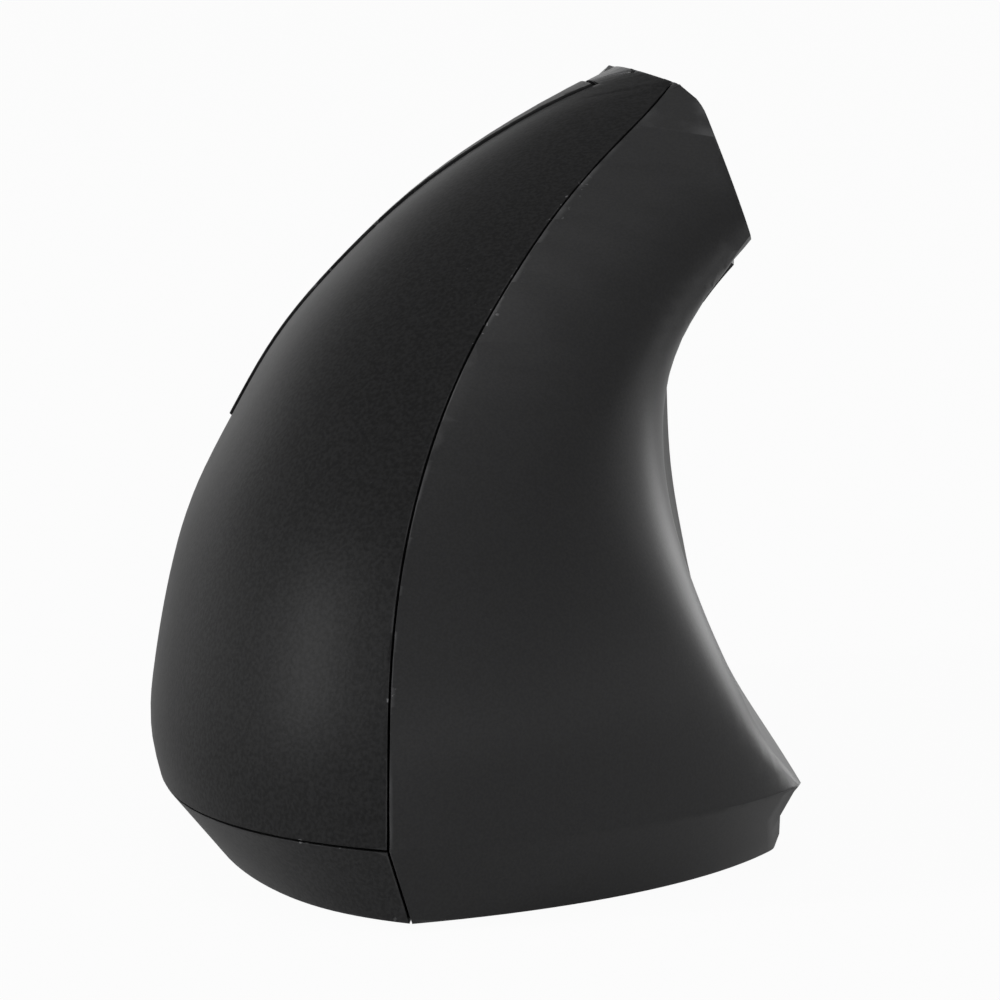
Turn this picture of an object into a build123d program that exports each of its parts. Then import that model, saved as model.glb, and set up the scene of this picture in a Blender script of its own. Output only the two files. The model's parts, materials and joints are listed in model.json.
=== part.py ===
from build123d import *
import os
from math import cos, hypot, radians, sin, tan

# Upright wireless mouse for the left hand.
# Millimetres. The origin is on the desk under the middle of the footprint, +Y points
# to the nose, +Z up, the palm side is at -X and the thumb side at +X.

os.makedirs("parts", exist_ok=True)

# Driving dimensions of the housing
body_length = 120.0
body_width = 67.0
body_height = 76.3
ledge_height = 8.0
shell_wall = 2.0
floor_wall = 1.8
glide_thickness = 1.0
glide_recess = 0.3
seam_gap = 0.25
crown_round = 6.0

half_length = body_length / 2
half_width = body_width / 2
underside = glide_thickness - glide_recess
floor_top = underside + floor_wall

# Clearances
press_gap = 0.5
running_gap = 0.3
seat_gap = 0.1
overrun = 1.0

# Palm side at twelve levels: rise, ridge x and y, widest x and y, nose x and y,
# how far the front is pulled in, and how much the slope thickens the wall in plan.
palm_level_shares = [
    (0.000, -0.134, -1.000, -0.943, 0.033, -0.090, 0.967, 0.07, 1.17),
    (0.044, -0.134, -0.997, -0.966, 0.033, -0.090, 0.988, 0.07, 1.00),
    (0.146, -0.134, -0.985, -0.960, 0.033, -0.075, 1.000, 0.07, 1.00),
    (0.264, -0.131, -0.943, -0.918, 0.033, -0.060, 1.000, 0.08, 1.05),
    (0.381, -0.110, -0.883, -0.848, 0.033, -0.030, 0.992, 0.10, 1.10),
    (0.498, -0.063, -0.792, -0.728, 0.033, 0.015, 0.975, 0.13, 1.15),
    (0.615, 0.018, -0.667, -0.585, 0.033, 0.075, 0.942, 0.16, 1.25),
    (0.732, 0.146, -0.503, -0.375, 0.033, 0.149, 0.868, 0.20, 1.40),
    (0.820, 0.272, -0.342, -0.175, 0.067, 0.239, 0.785, 0.25, 1.60),
    (0.893, 0.412, -0.183, 0.042, 0.100, 0.328, 0.675, 0.30, 1.80),
    (0.952, 0.537, -0.050, 0.258, 0.150, 0.418, 0.550, 0.35, 1.75),
    (1.010, 0.633, 0.083, 0.510, 0.233, 0.567, 0.450, 0.40, 1.20),
]
# The lower edge of the skirt in the same terms.
palm_foot_shares = (0.000, -0.075, -0.973, -0.851, 0.033, -0.090, 0.925, 0.07, 1.17)
# Palm curve between ridge and widest point, as shares across and along.
palm_rear_shares = [(0.33, 0.065), (0.70, 0.23), (0.93, 0.50)]
foot_rear_shares = [(0.265, 0.064), (0.56, 0.22), (0.82, 0.49)]
# Curve from the widest point to the nose, and round the nose to the thumb side.
front_along_shares = (0.45, 0.82)
front_step_share = 0.33
nose_wrap_shares = [(0.38, 0.03), (0.70, 0.16), (1.10, 0.50)]
ridge_lead_shares = (0.9, 0.4)

# Thumb side at the same levels: corner x and y, corner softness, the x of the
# thumb channel at four stations, and the wall thickening.
thumb_level_shares = [
    (1.003, -0.467, 0.036, 0.860, 0.743, 0.648, 0.567, 1.20),
    (0.937, -0.517, 0.066, 0.809, 0.696, 0.609, 0.543, 1.20),
    (0.836, -0.583, 0.134, 0.701, 0.615, 0.558, 0.507, 1.15),
    (0.734, -0.612, 0.194, 0.603, 0.543, 0.516, 0.490, 1.10),
    (0.650, -0.592, 0.254, 0.535, 0.501, 0.499, 0.478, 1.05),
    (0.610, -0.550, 0.269, 0.512, 0.490, 0.501, 0.484, 1.05),
    (0.632, -0.458, 0.209, 0.572, 0.552, 0.555, 0.531, 1.15),
    (0.776, -0.283, 0.075, 0.746, 0.716, 0.696, 0.672, 1.25),
    (0.925, -0.142, 0.045, 0.896, 0.866, 0.836, 0.806, 1.25),
    (1.015, -0.017, 0.045, 0.985, 0.955, 0.925, 0.896, 1.25),
    (1.104, 0.108, 0.045, 1.075, 1.045, 1.015, 0.985, 1.25),
    (1.194, 0.233, 0.045, 1.164, 1.149, 1.134, 1.104, 1.25),
]
thumb_foot_shares = (0.925, -0.400, 0.050, 0.788, 0.672, 0.576, 0.496, 1.20)
channel_station_shares = (0.30, 0.55, 0.80, 1.00)
channel_end_share = 1.25
face_bow_share = 0.10
face_place_shares = (-0.25, 0.0, 0.5)
reach_share = 2.2

# Crown: the deck falls towards the thumb side and the nose, the wing leans out.
deck_corner_share = (0.650, 0.966)
wing_edge_share = (0.803, 0.734)
deck_fall = 21.0
crown_drift_shares = (-0.075, -0.144)


def level_height(rise):
    return ledge_height + rise * (body_height - ledge_height)


def shifted(points, distance):
    """Each point moved to the left of the run by a distance."""
    moved = []
    for index, (x, y) in enumerate(points):
        ax, ay = points[max(index - 1, 0)]
        bx, by = points[min(index + 1, len(points) - 1)]
        run = hypot(bx - ax, by - ay)
        moved.append((x - (by - ay) / run * distance, y + (bx - ax) / run * distance))
    return moved


def palm_points(level, rear_shares, inset):
    """Plan points from just past the ridge, round the palm and nose, to the thumb side."""
    ridge_x, wide_x, nose_x = level[1] * half_width, level[3] * half_width, level[5] * half_width
    ridge_y, wide_y, nose_y = level[2] * half_length, level[4] * half_length, level[6] * half_length
    across, along = wide_x - ridge_x, wide_y - ridge_y
    rear = [(ridge_x + u * across, ridge_y + v * along) for u, v in rear_shares]
    lead_x, lead_y = ridge_lead_shares
    lead = (ridge_x - lead_x * (rear[0][0] - ridge_x), ridge_y - lead_y * (rear[0][1] - ridge_y))
    front = []
    for index, v in enumerate(front_along_shares):
        u = level[7] + index * front_step_share
        front.append((wide_x + u * (nose_x - wide_x), wide_y + v * (nose_y - wide_y)))
    wrap = [(nose_x + u * half_width, nose_y - v * half_length) for u, v in nose_wrap_shares]
    run = [lead, (ridge_x, ridge_y)] + rear + [(wide_x, wide_y)] + front + [(nose_x, nose_y)] + wrap
    return shifted(run, -inset * level[8])


def palm_section(height, points):
    """Closed section of the palm form, open ground on the thumb side."""
    far = reach_share * half_width
    back = -reach_share * half_length
    with BuildSketch(Plane.XY.offset(height)) as section:
        with BuildLine():
            Spline(*points)
            Polyline(points[-1], (far, points[-1][1]), (far, back), points[0])
        make_face()
    return section.sketch


def thumb_points(palm_level, level, inset):
    """Plan points of the thumb face, its soft corner and the thumb channel."""
    ridge_x, ridge_y = palm_level[1] * half_width, palm_level[2] * half_length
    corner_x, corner_y = level[0] * half_width, level[1] * half_length
    soft = level[2] * half_width
    chord = hypot(corner_x - ridge_x, corner_y - ridge_y)
    tx, ty = (corner_x - ridge_x) / chord, (corner_y - ridge_y) / chord
    face = []
    for place in face_place_shares + (1 - soft / chord,):
        bow = 4 * face_bow_share * chord * place * (1 - place)
        face.append((ridge_x + tx * chord * place + ty * bow, ridge_y + ty * chord * place - tx * bow))
    end_y = channel_end_share * half_length
    channel = []
    for station, x in zip(channel_station_shares, level[3:7]):
        channel.append((x * half_width, corner_y + station * (end_y - corner_y)))
    run = hypot(channel[0][0] - corner_x, channel[0][1] - corner_y)
    step = soft / run
    start = (corner_x + step * (channel[0][0] - corner_x), corner_y + step * (channel[0][1] - corner_y))
    points = shifted(face + [(corner_x, corner_y), start] + channel, inset * level[7])
    count = len(face)
    return points[:count], points[count], points[count + 1:]


def thumb_section(height, face, corner, channel):
    """Closed section of the thumb form, open ground on the palm side."""
    far = -reach_share * half_width
    with BuildSketch(Plane.XY.offset(height)) as section:
        with BuildLine():
            Spline(*face)
            Bezier(face[-1], corner, channel[0])
            Spline(*channel)
            Polyline(channel[-1], (far, channel[-1][1]), (far, face[0][1]), face[0])
        make_face()
    return section.sketch


def palm_form(inset):
    """Solid inside the palm surface, from the ledge to above the crown."""
    with BuildPart() as form:
        for level in palm_level_shares:
            add(palm_section(level_height(level[0]), palm_points(level, palm_rear_shares, inset)))
        loft()
    return form.part


def thumb_form(inset):
    """Solid inside the thumb face, the channel and the wing's underside."""
    with BuildPart() as form:
        for palm_level, level in zip(palm_level_shares, thumb_level_shares):
            add(thumb_section(level_height(palm_level[0]), *thumb_points(palm_level, level, inset)))
        loft()
    return form.part


def crown_form(inset):
    """Long prism under the deck and inside the wing's upper side."""
    deck_x, deck_z = deck_corner_share[0] * half_width, deck_corner_share[1] * body_height
    wing_x = wing_edge_share[0] * half_width
    wing_z = level_height(wing_edge_share[1])
    fall = tan(radians(deck_fall))
    reach = reach_share * body_width
    drift_x, drift_z = crown_drift_shares
    back = reach_share * half_length
    lean = (wing_x - deck_x) / (deck_z - wing_z)
    base = Plane(origin=(-drift_x * back, -back, -drift_z * back), x_dir=(1, 0, 0), z_dir=(0, -1, 0))
    with BuildPart() as form:
        with BuildSketch(base):
            with BuildLine():
                Polyline(
                    (deck_x, deck_z),
                    (deck_x + lean * reach, deck_z - reach),
                    (deck_x - reach, deck_z - reach),
                    (deck_x - reach, deck_z + reach * fall),
                    close=True,
                )
            make_face()
            offset(amount=-inset, kind=Kind.INTERSECTION)
            fillet(vertices().sort_by_distance((deck_x, deck_z))[0:1], crown_round - inset)
        extrude(amount=2 * back, dir=(drift_x, 1, drift_z))
    return form.part


def skirt_form(inset):
    """Solid inside the skirt, from the underside up to the ledge."""
    with BuildPart() as palm_half:
        add(palm_section(underside, palm_points(palm_foot_shares, foot_rear_shares, inset)))
        add(palm_section(ledge_height, palm_points(palm_level_shares[0], palm_rear_shares, inset)))
        loft(ruled=True)
    with BuildPart() as thumb_half:
        add(thumb_section(underside, *thumb_points(palm_foot_shares, thumb_foot_shares, inset)))
        add(thumb_section(ledge_height, *thumb_points(palm_level_shares[0], thumb_level_shares[0], inset)))
        loft(ruled=True)
    with BuildPart() as form:
        add(palm_half.part)
        add(thumb_half.part, mode=Mode.INTERSECT)
    return form.part


def upper_form(palm_inset, thumb_inset):
    """Whole housing above the ledge, inside all three surfaces."""
    with BuildPart() as form:
        add(palm_form(palm_inset))
        add(thumb_form(thumb_inset), mode=Mode.INTERSECT)
        add(crown_form(thumb_inset), mode=Mode.INTERSECT)
    return form.part


outer_form = upper_form(0, 0)
cavity_form = upper_form(shell_wall, shell_wall)
skirt_outer = skirt_form(0)
skirt_inner = skirt_form(shell_wall)

# Seams. The ridge seam is a plan curve, the front seam leans forward as it rises,
# and the trim seam crosses the deck from the ridge's end.
ridge_first_level = 2
ridge_last_level = 11
ridge_run_on_shares = [(0.612, 0.07), (0.620, 0.25), (0.580, 0.58), (0.540, 1.25)]
front_seam_low_share = 0.367
front_seam_high_share = 0.695
under_wing_share = (0.15, -0.13, 0.76)
trim_seam_shares = ((0.588, 0.017), (0.418, 0.083))
far_reach = reach_share * body_length


def thumb_block(shift):
    """Ground on the thumb side of the ridge seam, widened towards the palm by shift."""
    levels = palm_level_shares[ridge_first_level:ridge_last_level]
    run = [(level[1] * half_width, level[2] * half_length) for level in levels]
    run += [(x * half_width, y * half_length) for x, y in ridge_run_on_shares]
    run = shifted(run, shift)
    with BuildPart() as block:
        with BuildSketch(Plane.XY.offset(-far_reach)):
            with BuildLine():
                Line((run[0][0], -far_reach), run[0])
                Spline(*run)
                Polyline(run[-1], (far_reach, run[-1][1]), (far_reach, -far_reach), (run[0][0], -far_reach))
            make_face()
        extrude(amount=2 * far_reach)
        with BuildSketch(Plane.XY.offset(-far_reach)):
            with Locations((under_wing_share[0] * half_width, under_wing_share[1] * half_length)):
                Rectangle(far_reach, far_reach, align=(Align.MIN, Align.MIN))
        extrude(amount=far_reach + level_height(under_wing_share[2]))
    return block.part


def front_block(shift):
    """Ground in front of the front seam, moved back by shift."""
    low_y = front_seam_low_share * half_length - shift
    high_y = front_seam_high_share * half_length - shift
    slope = (high_y - low_y) / (body_height - ledge_height)
    with BuildPart() as block:
        with BuildSketch(Plane.YZ.offset(-far_reach)):
            Polygon(
                (low_y, -far_reach),
                (far_reach, -far_reach),
                (far_reach, far_reach),
                (low_y + slope * (far_reach - ledge_height), far_reach),
                (low_y, ledge_height),
                align=None,
            )
        extrude(amount=2 * far_reach)
    return block.part


# Finger side: the main buttons lie in a sheet that leans over the palm side.
# Places in the sheet are given as y along the body, up along the sheet and depth out of it.
finger_lean = radians(40.0)
finger_up = Vector(sin(finger_lean), 0, cos(finger_lean))
finger_out = Vector(-cos(finger_lean), 0, sin(finger_lean))


def finger_point(y, up, depth):
    return finger_up * up + finger_out * depth + Vector(0, y, 0)


def finger_plane(depth):
    """Sheet plane at a depth, with local x towards the rear and local y up the sheet."""
    return Plane(origin=finger_out * depth, x_dir=(0, -1, 0), z_dir=finger_out)


def finger_cross(up):
    """Plane across the sheet, with local x towards the nose and local y outwards."""
    return Plane(origin=finger_up * up, x_dir=(0, 1, 0), z_dir=finger_up)


# Main buttons: corners of their field in the sheet, as shares of half_length and body_height.
field_rear_low = (-0.150 * half_length, 0.201 * body_height)
field_rear_high = (0.068 * half_length, 0.839 * body_height)
field_front_high = (0.727 * half_length, 0.738 * body_height)
field_front_low = (0.800 * half_length, 0.276 * body_height)
button_split = 0.515 * body_height
button_proud = 0.3
sheet_floor_share = 0.38
sheet_floor = sheet_floor_share * body_height

# Scroll wheel, standing in the sheet between the two buttons.
wheel_radius = 11.5
wheel_width = 7.0
wheel_y_share = 0.44
wheel_depth_share = 0.449
wheel_y = wheel_y_share * half_length
wheel_depth = wheel_depth_share * body_height
wheel_slot_length = 20.0
wheel_slot_round = 2.0
wheel_slot_step = 6.8
wheel_gap = 0.8


def field_place(low, high, up):
    """Point on the line from low to high at a height up the sheet."""
    share = (up - low[1]) / (high[1] - low[1])
    return (low[0] + share * (high[0] - low[0]), up)


split_rear = field_place(field_rear_low, field_rear_high, button_split)
split_front = field_place(field_front_low, field_front_high, button_split)
primary_outline = [split_rear, split_front, field_front_high, field_rear_high]
secondary_outline = [field_rear_low, field_front_low, split_front, split_rear]


def button_prism(outline, grow):
    """Ground of one button, from deep in the sheet to outside, offset by grow."""
    with BuildPart() as prism:
        with BuildSketch(finger_plane(sheet_floor)):
            Polygon(*[(-y, up) for y, up in outline], align=None)
            offset(amount=grow, kind=Kind.INTERSECTION)
        extrude(amount=body_height)
    return prism.part


def trim_block(shift):
    """Ground above the buttons and in front of the trim seam, shrunk by shift."""
    (ax, ay), (bx, by) = trim_seam_shares
    seam = shifted([(ax * half_width, ay * half_length), (bx * half_width, by * half_length)], -shift)
    (ax, ay), (bx, by) = seam
    with BuildPart() as block:
        with BuildSketch(finger_plane(-far_reach)):
            rear_y = -far_reach
            slope = (field_front_high[1] - field_rear_high[1]) / (field_front_high[0] - field_rear_high[0])
            low = field_rear_high[1] + shift
            Polygon(
                (-rear_y, low + slope * (rear_y - field_rear_high[0])),
                (-far_reach, low + slope * (far_reach - field_rear_high[0])),
                (-far_reach, far_reach),
                (-rear_y, far_reach),
                align=None,
            )
        extrude(amount=2 * far_reach)
        with BuildSketch(Plane.XY.offset(-far_reach)):
            Polygon(
                (ax + far_reach * (ax - bx), ay + far_reach * (ay - by)),
                (bx + far_reach * (bx - ax), by + far_reach * (by - ay)),
                (bx + far_reach * (bx - ax), far_reach * far_reach),
                (ax + far_reach * (ax - bx), far_reach * far_reach),
                align=None,
            )
        extrude(amount=2 * far_reach, mode=Mode.INTERSECT)
    return block.part


half_gap = seam_gap / 2
half_press = press_gap / 2
primary_field = button_prism(primary_outline, half_press)
secondary_field = button_prism(secondary_outline, half_press)

with BuildPart() as housing_zone:
    add(outer_form)
    with BuildSketch(Plane.XY.offset(ledge_height - overrun)):
        Rectangle(far_reach, far_reach)
    extrude(amount=overrun + half_gap, mode=Mode.SUBTRACT)

# Base: skirt on the palm side and round the nose, floor under everything.
board_bottom = 6.5
board_thickness = 1.6
base_skirt_seam_share = 0.367
base_skirt_seam = base_skirt_seam_share * half_length

# Battery bay: two cells side by side, under a door.
cell_radius = 5.25
cell_length = 44.5
cell_pitch = 11.2
bay_wall = 1.2
bay_x_share = -0.075
bay_y_share = -0.30
bay_x = bay_x_share * half_width
bay_y = bay_y_share * half_length
contact_strip = 0.4
contact_spring = 2.6
door_thickness = 1.2
door_rim = 1.0
door_gap = 0.25
bay_width = cell_pitch + 2 * cell_radius + 2 * running_gap
bay_length = cell_length + 2 * contact_strip + contact_spring + 2 * running_gap
cell_z = underside + door_thickness + running_gap + cell_radius
bay_top = cell_z + 0.55 * cell_radius
cell_x = (bay_x - cell_pitch / 2, bay_x + cell_pitch / 2)
contact_face = bay_y + bay_length / 2 - contact_strip
cell_y = contact_face - cell_length / 2

# Receiver well: the receiver stands in it, plug upwards.
receiver_width = 14.2
receiver_depth = 6.0
receiver_cap = 6.5
plug_width = 12.0
plug_depth = 4.5
plug_length = 12.0
well_wall = 1.0
well_gap = 0.25
well_x_share = 0.445
well_y_share = -0.225
well_x = well_x_share * half_width
well_y = well_y_share * half_length
well_top = underside + receiver_cap + plug_length + running_gap

# Sensor window and power switch slot in the floor.
window_x_share = 0.15
window_y_share = 0.34
window_x = window_x_share * half_width
window_y = window_y_share * half_length
window_length = 10.0
window_width = 8.0
window_round = 2.0
slider_x_share = 0.29
slider_y_share = 0.66
slider_x = slider_x_share * half_width
slider_y = slider_y_share * half_length
slider_width = 3.0
slider_length = 3.2
slider_travel = 2.5

# Main board on four bosses.
board_x_share = 0.235
board_y_share = 0.46
board_x = board_x_share * half_width
board_y = board_y_share * half_length
board_width = 18.5
board_length = 36.0
board_inset = 2.4
board_boss_radius = 2.0
board_screw_radius = 0.8
board_screw_length = 5.0
board_screw_head = 1.7
board_screw_head_height = 1.2
board_hole_radius = 1.0
board_top = board_bottom + board_thickness
board_screw_places = [
    (board_x + i * (board_width / 2 - board_inset), board_y + j * (board_length / 2 - board_inset))
    for i in (-1, 1)
    for j in (-1, 1)
]

# Case screws from below into long posts in the shells.
post_radius = 3.0
post_seat = 2.4
screw_radius = 1.1
screw_hole_radius = 1.25
screw_length = 9.0
screw_head_radius = 2.0
screw_head_height = 1.4
screw_sink = 0.2
thread_gap = 0.05
palm_post_shares = [(-0.58, -0.36), (-0.66, 0.20)]
thumb_post_shares = [(0.44, -0.60), (0.62, 0.08)]
palm_post_tops = (0.75, 0.60)
thumb_post_tops = (0.62, 0.40)
palm_post_places = [(x * half_width, y * half_length) for x, y in palm_post_shares]
thumb_post_places = [(x * half_width, y * half_length) for x, y in thumb_post_shares]
screw_seat = underside + screw_sink + screw_head_height
post_bottom = screw_seat + post_seat

# Frame legs and feet.
leg_width = 4.0
leg_thickness = 5.0
leg_x_share = -0.30
leg_x = leg_x_share * half_width
leg_y_shares = (0.23, 0.64)
leg_places = [y * half_length for y in leg_y_shares]

# Glide feet: x, y, length and width, turned along or across.
glide_feet_shares = [
    (-0.02, -0.800, 0.38, 0.14),
    (-0.03, 0.80, 0.60, 0.16),
    (-0.70, -0.06, 0.15, 0.62),
    (0.67, -0.22, 0.13, 0.52),
]


def feet_block(grow):
    """All glide feet, from the desk up into the floor."""
    with BuildPart() as block:
        with BuildSketch(Plane.XY):
            for x, y, wide, long in glide_feet_shares:
                length = max(wide, long) * half_width + 2 * grow
                width = min(wide, long) * half_width + 2 * grow
                with Locations((x * half_width, y * half_length)):
                    SlotOverall(length, width, rotation=90 if long > wide else 0)
        extrude(amount=glide_thickness)
    return block.part


def skirt_thumb_block(shift):
    """Ground of the thumb side's skirt, right of the slanted rear seam."""
    foot_x = palm_foot_shares[1] * half_width - shift
    top_x = palm_level_shares[0][1] * half_width - shift
    with BuildPart() as block:
        with BuildSketch(Plane.XZ.offset(-base_skirt_seam - shift)):
            Polygon(
                (foot_x, underside - overrun),
                (far_reach, underside - overrun),
                (far_reach, ledge_height),
                (top_x, ledge_height),
                (foot_x, underside),
                align=None,
            )
        extrude(amount=far_reach)
    return block.part




# Sheet frame, button board and switches, stacked outwards in the finger sheet.
frame_depth_share = 0.294
frame_depth = frame_depth_share * body_height
frame_thickness = 2.0
standoff = 1.6
sheet_board_depth = frame_depth + frame_thickness + standoff
switch_floor = sheet_board_depth + board_thickness
frame_y_shares = (-0.13, 0.75)
frame_up_shares = (0.225, 0.64)
frame_y = [share * half_length for share in frame_y_shares]
frame_low, frame_high = [share * body_height for share in frame_up_shares]
sheet_board_y_shares = (0.15, 0.755)
sheet_board_up_shares = (0.255, 0.615)
sheet_board_y = [share * half_length for share in sheet_board_y_shares]
sheet_board_up = [share * body_height for share in sheet_board_up_shares]
standoff_radius = 1.8
standoff_shares = [(0.197, 0.290), (0.197, 0.577), (0.483, 0.290), (0.720, 0.590)]
ear_y_shares = (0.345, 0.520)
ear_up_shares = (0.680, 0.710)

click_switch_length = 12.8
click_switch_width = 5.8
click_switch_height = 6.5
click_plunger = 0.7
click_plunger_length = 2.9
click_plunger_width = 1.2
click_y_share = 0.677
click_plunger_offset = 2.2
click_y = click_y_share * half_length
primary_up_share = 0.662
secondary_up_share = 0.341
primary_up = primary_up_share * body_height
secondary_up = secondary_up_share * body_height
click_room = 0.75
click_post_radius = 1.5

tact_size = 4.0
tact_height = 2.5
tact_plunger = 0.5
tact_plunger_radius = 1.0
press_spare = 0.06

# Button hinge: one pin through lugs on the buttons and arms on the frame.
pin_radius = 1.0
pin_fit = 0.04
pin_y_share = -0.02
pin_depth_share = 0.478
pin_y = pin_y_share * half_length
pin_depth = pin_depth_share * body_height
pin_end_shares = (0.228, 0.720)
arm_up_shares = (0.25, 0.515, 0.625)
secondary_lug_shares = (0.32, 0.45)
primary_lug_shares = (0.57, 0.69)
arm_thickness = 2.2
arm_eye = 2.6
arm_foot = 11.0
lug_thickness = 2.0
lug_eye = 2.2
lug_root_shares = (0.053, 0.135)

# Wheel carrier: a ring round the wheel that slides on two guide posts.
axle_radius = 1.5
axle_fit = 0.05
carrier_bar = 2.5
carrier_thickness = 3.0
carrier_clear = 0.7
carrier_half_up = wheel_width / 2 + carrier_clear + carrier_bar
carrier_inner_y = wheel_radius + carrier_clear
guide_radius = 1.3
guide_fit = 0.1
guide_bar = 4.2
guide_y = carrier_inner_y + guide_bar / 2
carrier_half_y = carrier_inner_y + guide_bar
guide_top = wheel_depth + carrier_thickness / 2 + running_gap
wheel_travel = 0.5
encoder_gap = 0.5
encoder_thickness = 4.8
encoder_width = 9.0
encoder_rise = 3.1
axle_reach = 3.0
tab_length = 4.5
tab_thickness = 1.5
tab_width = 5.0
middle_up = button_split - carrier_half_up - tab_length / 2
middle_shift = 1.5
middle_y = wheel_y - middle_shift
tyre_thickness = 2.6
tyre_grooves = 30
tyre_groove_depth = 0.7
tyre_groove_width = 1.1
hub_web = 2.6
hub_rim = 1.6
hub_boss = 3.2
tyre_edge = 1.0


with BuildPart() as floor_slab:
    add(skirt_form(shell_wall + seam_gap))
    with BuildSketch(Plane.XY.offset(floor_top)):
        Rectangle(far_reach, far_reach)
    extrude(amount=far_reach, mode=Mode.SUBTRACT)

with BuildPart() as palm_floor:
    add(skirt_outer)
    add(skirt_thumb_block(half_gap), mode=Mode.SUBTRACT)
    with BuildSketch(Plane.XY.offset(floor_top)):
        Rectangle(far_reach, far_reach)
    extrude(amount=far_reach, mode=Mode.SUBTRACT)

with BuildPart() as base_case:
    add(skirt_outer)
    add(skirt_inner, mode=Mode.SUBTRACT)
    add(skirt_thumb_block(half_gap), mode=Mode.SUBTRACT)
    with BuildSketch(Plane.XY.offset(ledge_height - half_gap)):
        Rectangle(far_reach, far_reach)
    extrude(amount=overrun, mode=Mode.SUBTRACT)
    add(floor_slab.part)
    add(palm_floor.part)
    with BuildSketch(Plane.XY.offset(floor_top)):
        with Locations((bay_x, bay_y)):
            Rectangle(bay_width + 2 * bay_wall, bay_length + 2 * bay_wall)
    extrude(amount=bay_top - floor_top)
    with BuildSketch(Plane.XY.offset(floor_top)):
        with Locations((well_x, well_y)):
            Rectangle(
                receiver_depth + 2 * (well_gap + well_wall),
                receiver_width + 2 * (well_gap + well_wall),
            )
    extrude(amount=well_top + well_wall - floor_top)
    with BuildSketch(Plane.XY.offset(floor_top)):
        with Locations(*palm_post_places, *thumb_post_places):
            Circle(post_radius)
    extrude(amount=post_bottom - floor_top)
    with BuildSketch(Plane.XY.offset(floor_top)):
        with Locations(*board_screw_places):
            Circle(board_boss_radius)
    extrude(amount=board_bottom - floor_top)
    with BuildSketch(Plane.XY.offset(floor_top)):
        with Locations(*[(leg_x, y) for y in leg_places]):
            Rectangle(leg_thickness + 2 * (seat_gap + bay_wall), leg_width + 2 * (seat_gap + bay_wall))
            Rectangle(leg_thickness + 2 * seat_gap, leg_width + 2 * seat_gap, mode=Mode.SUBTRACT)
    extrude(amount=post_seat)
    with BuildSketch(Plane.XY.offset(underside)):
        with Locations((bay_x, bay_y)):
            Rectangle(bay_width, bay_length)
    extrude(amount=bay_top, mode=Mode.SUBTRACT)
    with BuildSketch(Plane.XY.offset(underside)):
        with Locations((bay_x, bay_y)):
            Rectangle(bay_width + 2 * door_rim, bay_length + 2 * door_rim)
    extrude(amount=door_thickness + seat_gap, mode=Mode.SUBTRACT)
    with BuildSketch(Plane.XY.offset(underside)):
        with Locations((well_x, well_y)):
            Rectangle(receiver_depth + 2 * well_gap, receiver_width + 2 * well_gap)
    extrude(amount=well_top - underside, mode=Mode.SUBTRACT)
    with BuildSketch(Plane.XY.offset(underside)):
        with Locations((window_x, window_y)):
            RectangleRounded(window_width, window_length, window_round)
        with Locations((slider_x, slider_y + slider_travel / 2)):
            Rectangle(slider_width + 2 * running_gap, slider_length + slider_travel + 2 * running_gap)
    extrude(amount=floor_wall, mode=Mode.SUBTRACT)
    with BuildSketch(Plane.XY.offset(underside)):
        with Locations(*palm_post_places, *thumb_post_places):
            Circle(screw_head_radius + seat_gap)
    extrude(amount=screw_sink + screw_head_height, mode=Mode.SUBTRACT)
    with BuildSketch(Plane.XY.offset(underside)):
        with Locations(*palm_post_places, *thumb_post_places):
            Circle(screw_hole_radius)
    extrude(amount=post_bottom, mode=Mode.SUBTRACT)
    with BuildSketch(Plane.XY.offset(board_bottom)):
        with Locations(*board_screw_places):
            Circle(board_screw_radius + thread_gap)
    extrude(amount=-(board_screw_length - board_thickness + seat_gap), mode=Mode.SUBTRACT)
    add(feet_block(seat_gap), mode=Mode.SUBTRACT)
base_case.part.label = "base_case"
export_step(base_case.part, "parts/base_case.step")

with BuildPart() as glide_feet:
    add(feet_block(0))
glide_feet.part.label = "glide_feet"
export_step(glide_feet.part, "parts/glide_feet.step")

mid_form = upper_form(shell_wall / 2, shell_wall / 2)
inner_form = upper_form(shell_wall, shell_wall + running_gap)
proud_form = upper_form(-button_proud, 0)


def shell_posts(places, top_shares):
    """Screw posts from the base bosses up into a shell, with their pilot holes."""
    pilot = screw_length - post_seat + seat_gap
    with BuildPart() as posts:
        for place, top_share in zip(places, top_shares):
            with BuildSketch(Plane.XY.offset(post_bottom)):
                with Locations(place):
                    Circle(post_radius)
            extrude(amount=top_share * body_height - post_bottom)
        add(mid_form, mode=Mode.INTERSECT)
        with BuildSketch(Plane.XY.offset(post_bottom)):
            with Locations(*places):
                Circle(post_radius)
        extrude(amount=ledge_height - post_bottom + half_gap)
        with BuildSketch(Plane.XY.offset(post_bottom)):
            with Locations(*places):
                Circle(screw_radius + thread_gap)
        extrude(amount=pilot, mode=Mode.SUBTRACT)
    return posts.part


def block_on(plane, place, size, thickness):
    """Rectangular block standing on a plane."""
    with BuildPart() as block:
        with BuildSketch(plane):
            with Locations(place):
                Rectangle(*size)
        extrude(amount=thickness)
    return block.part


def post_on(plane, place, radius, thickness):
    """Round post standing on a plane."""
    with BuildPart() as post:
        with BuildSketch(plane):
            with Locations(place):
                Circle(radius)
        extrude(amount=thickness)
    return post.part


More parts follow.
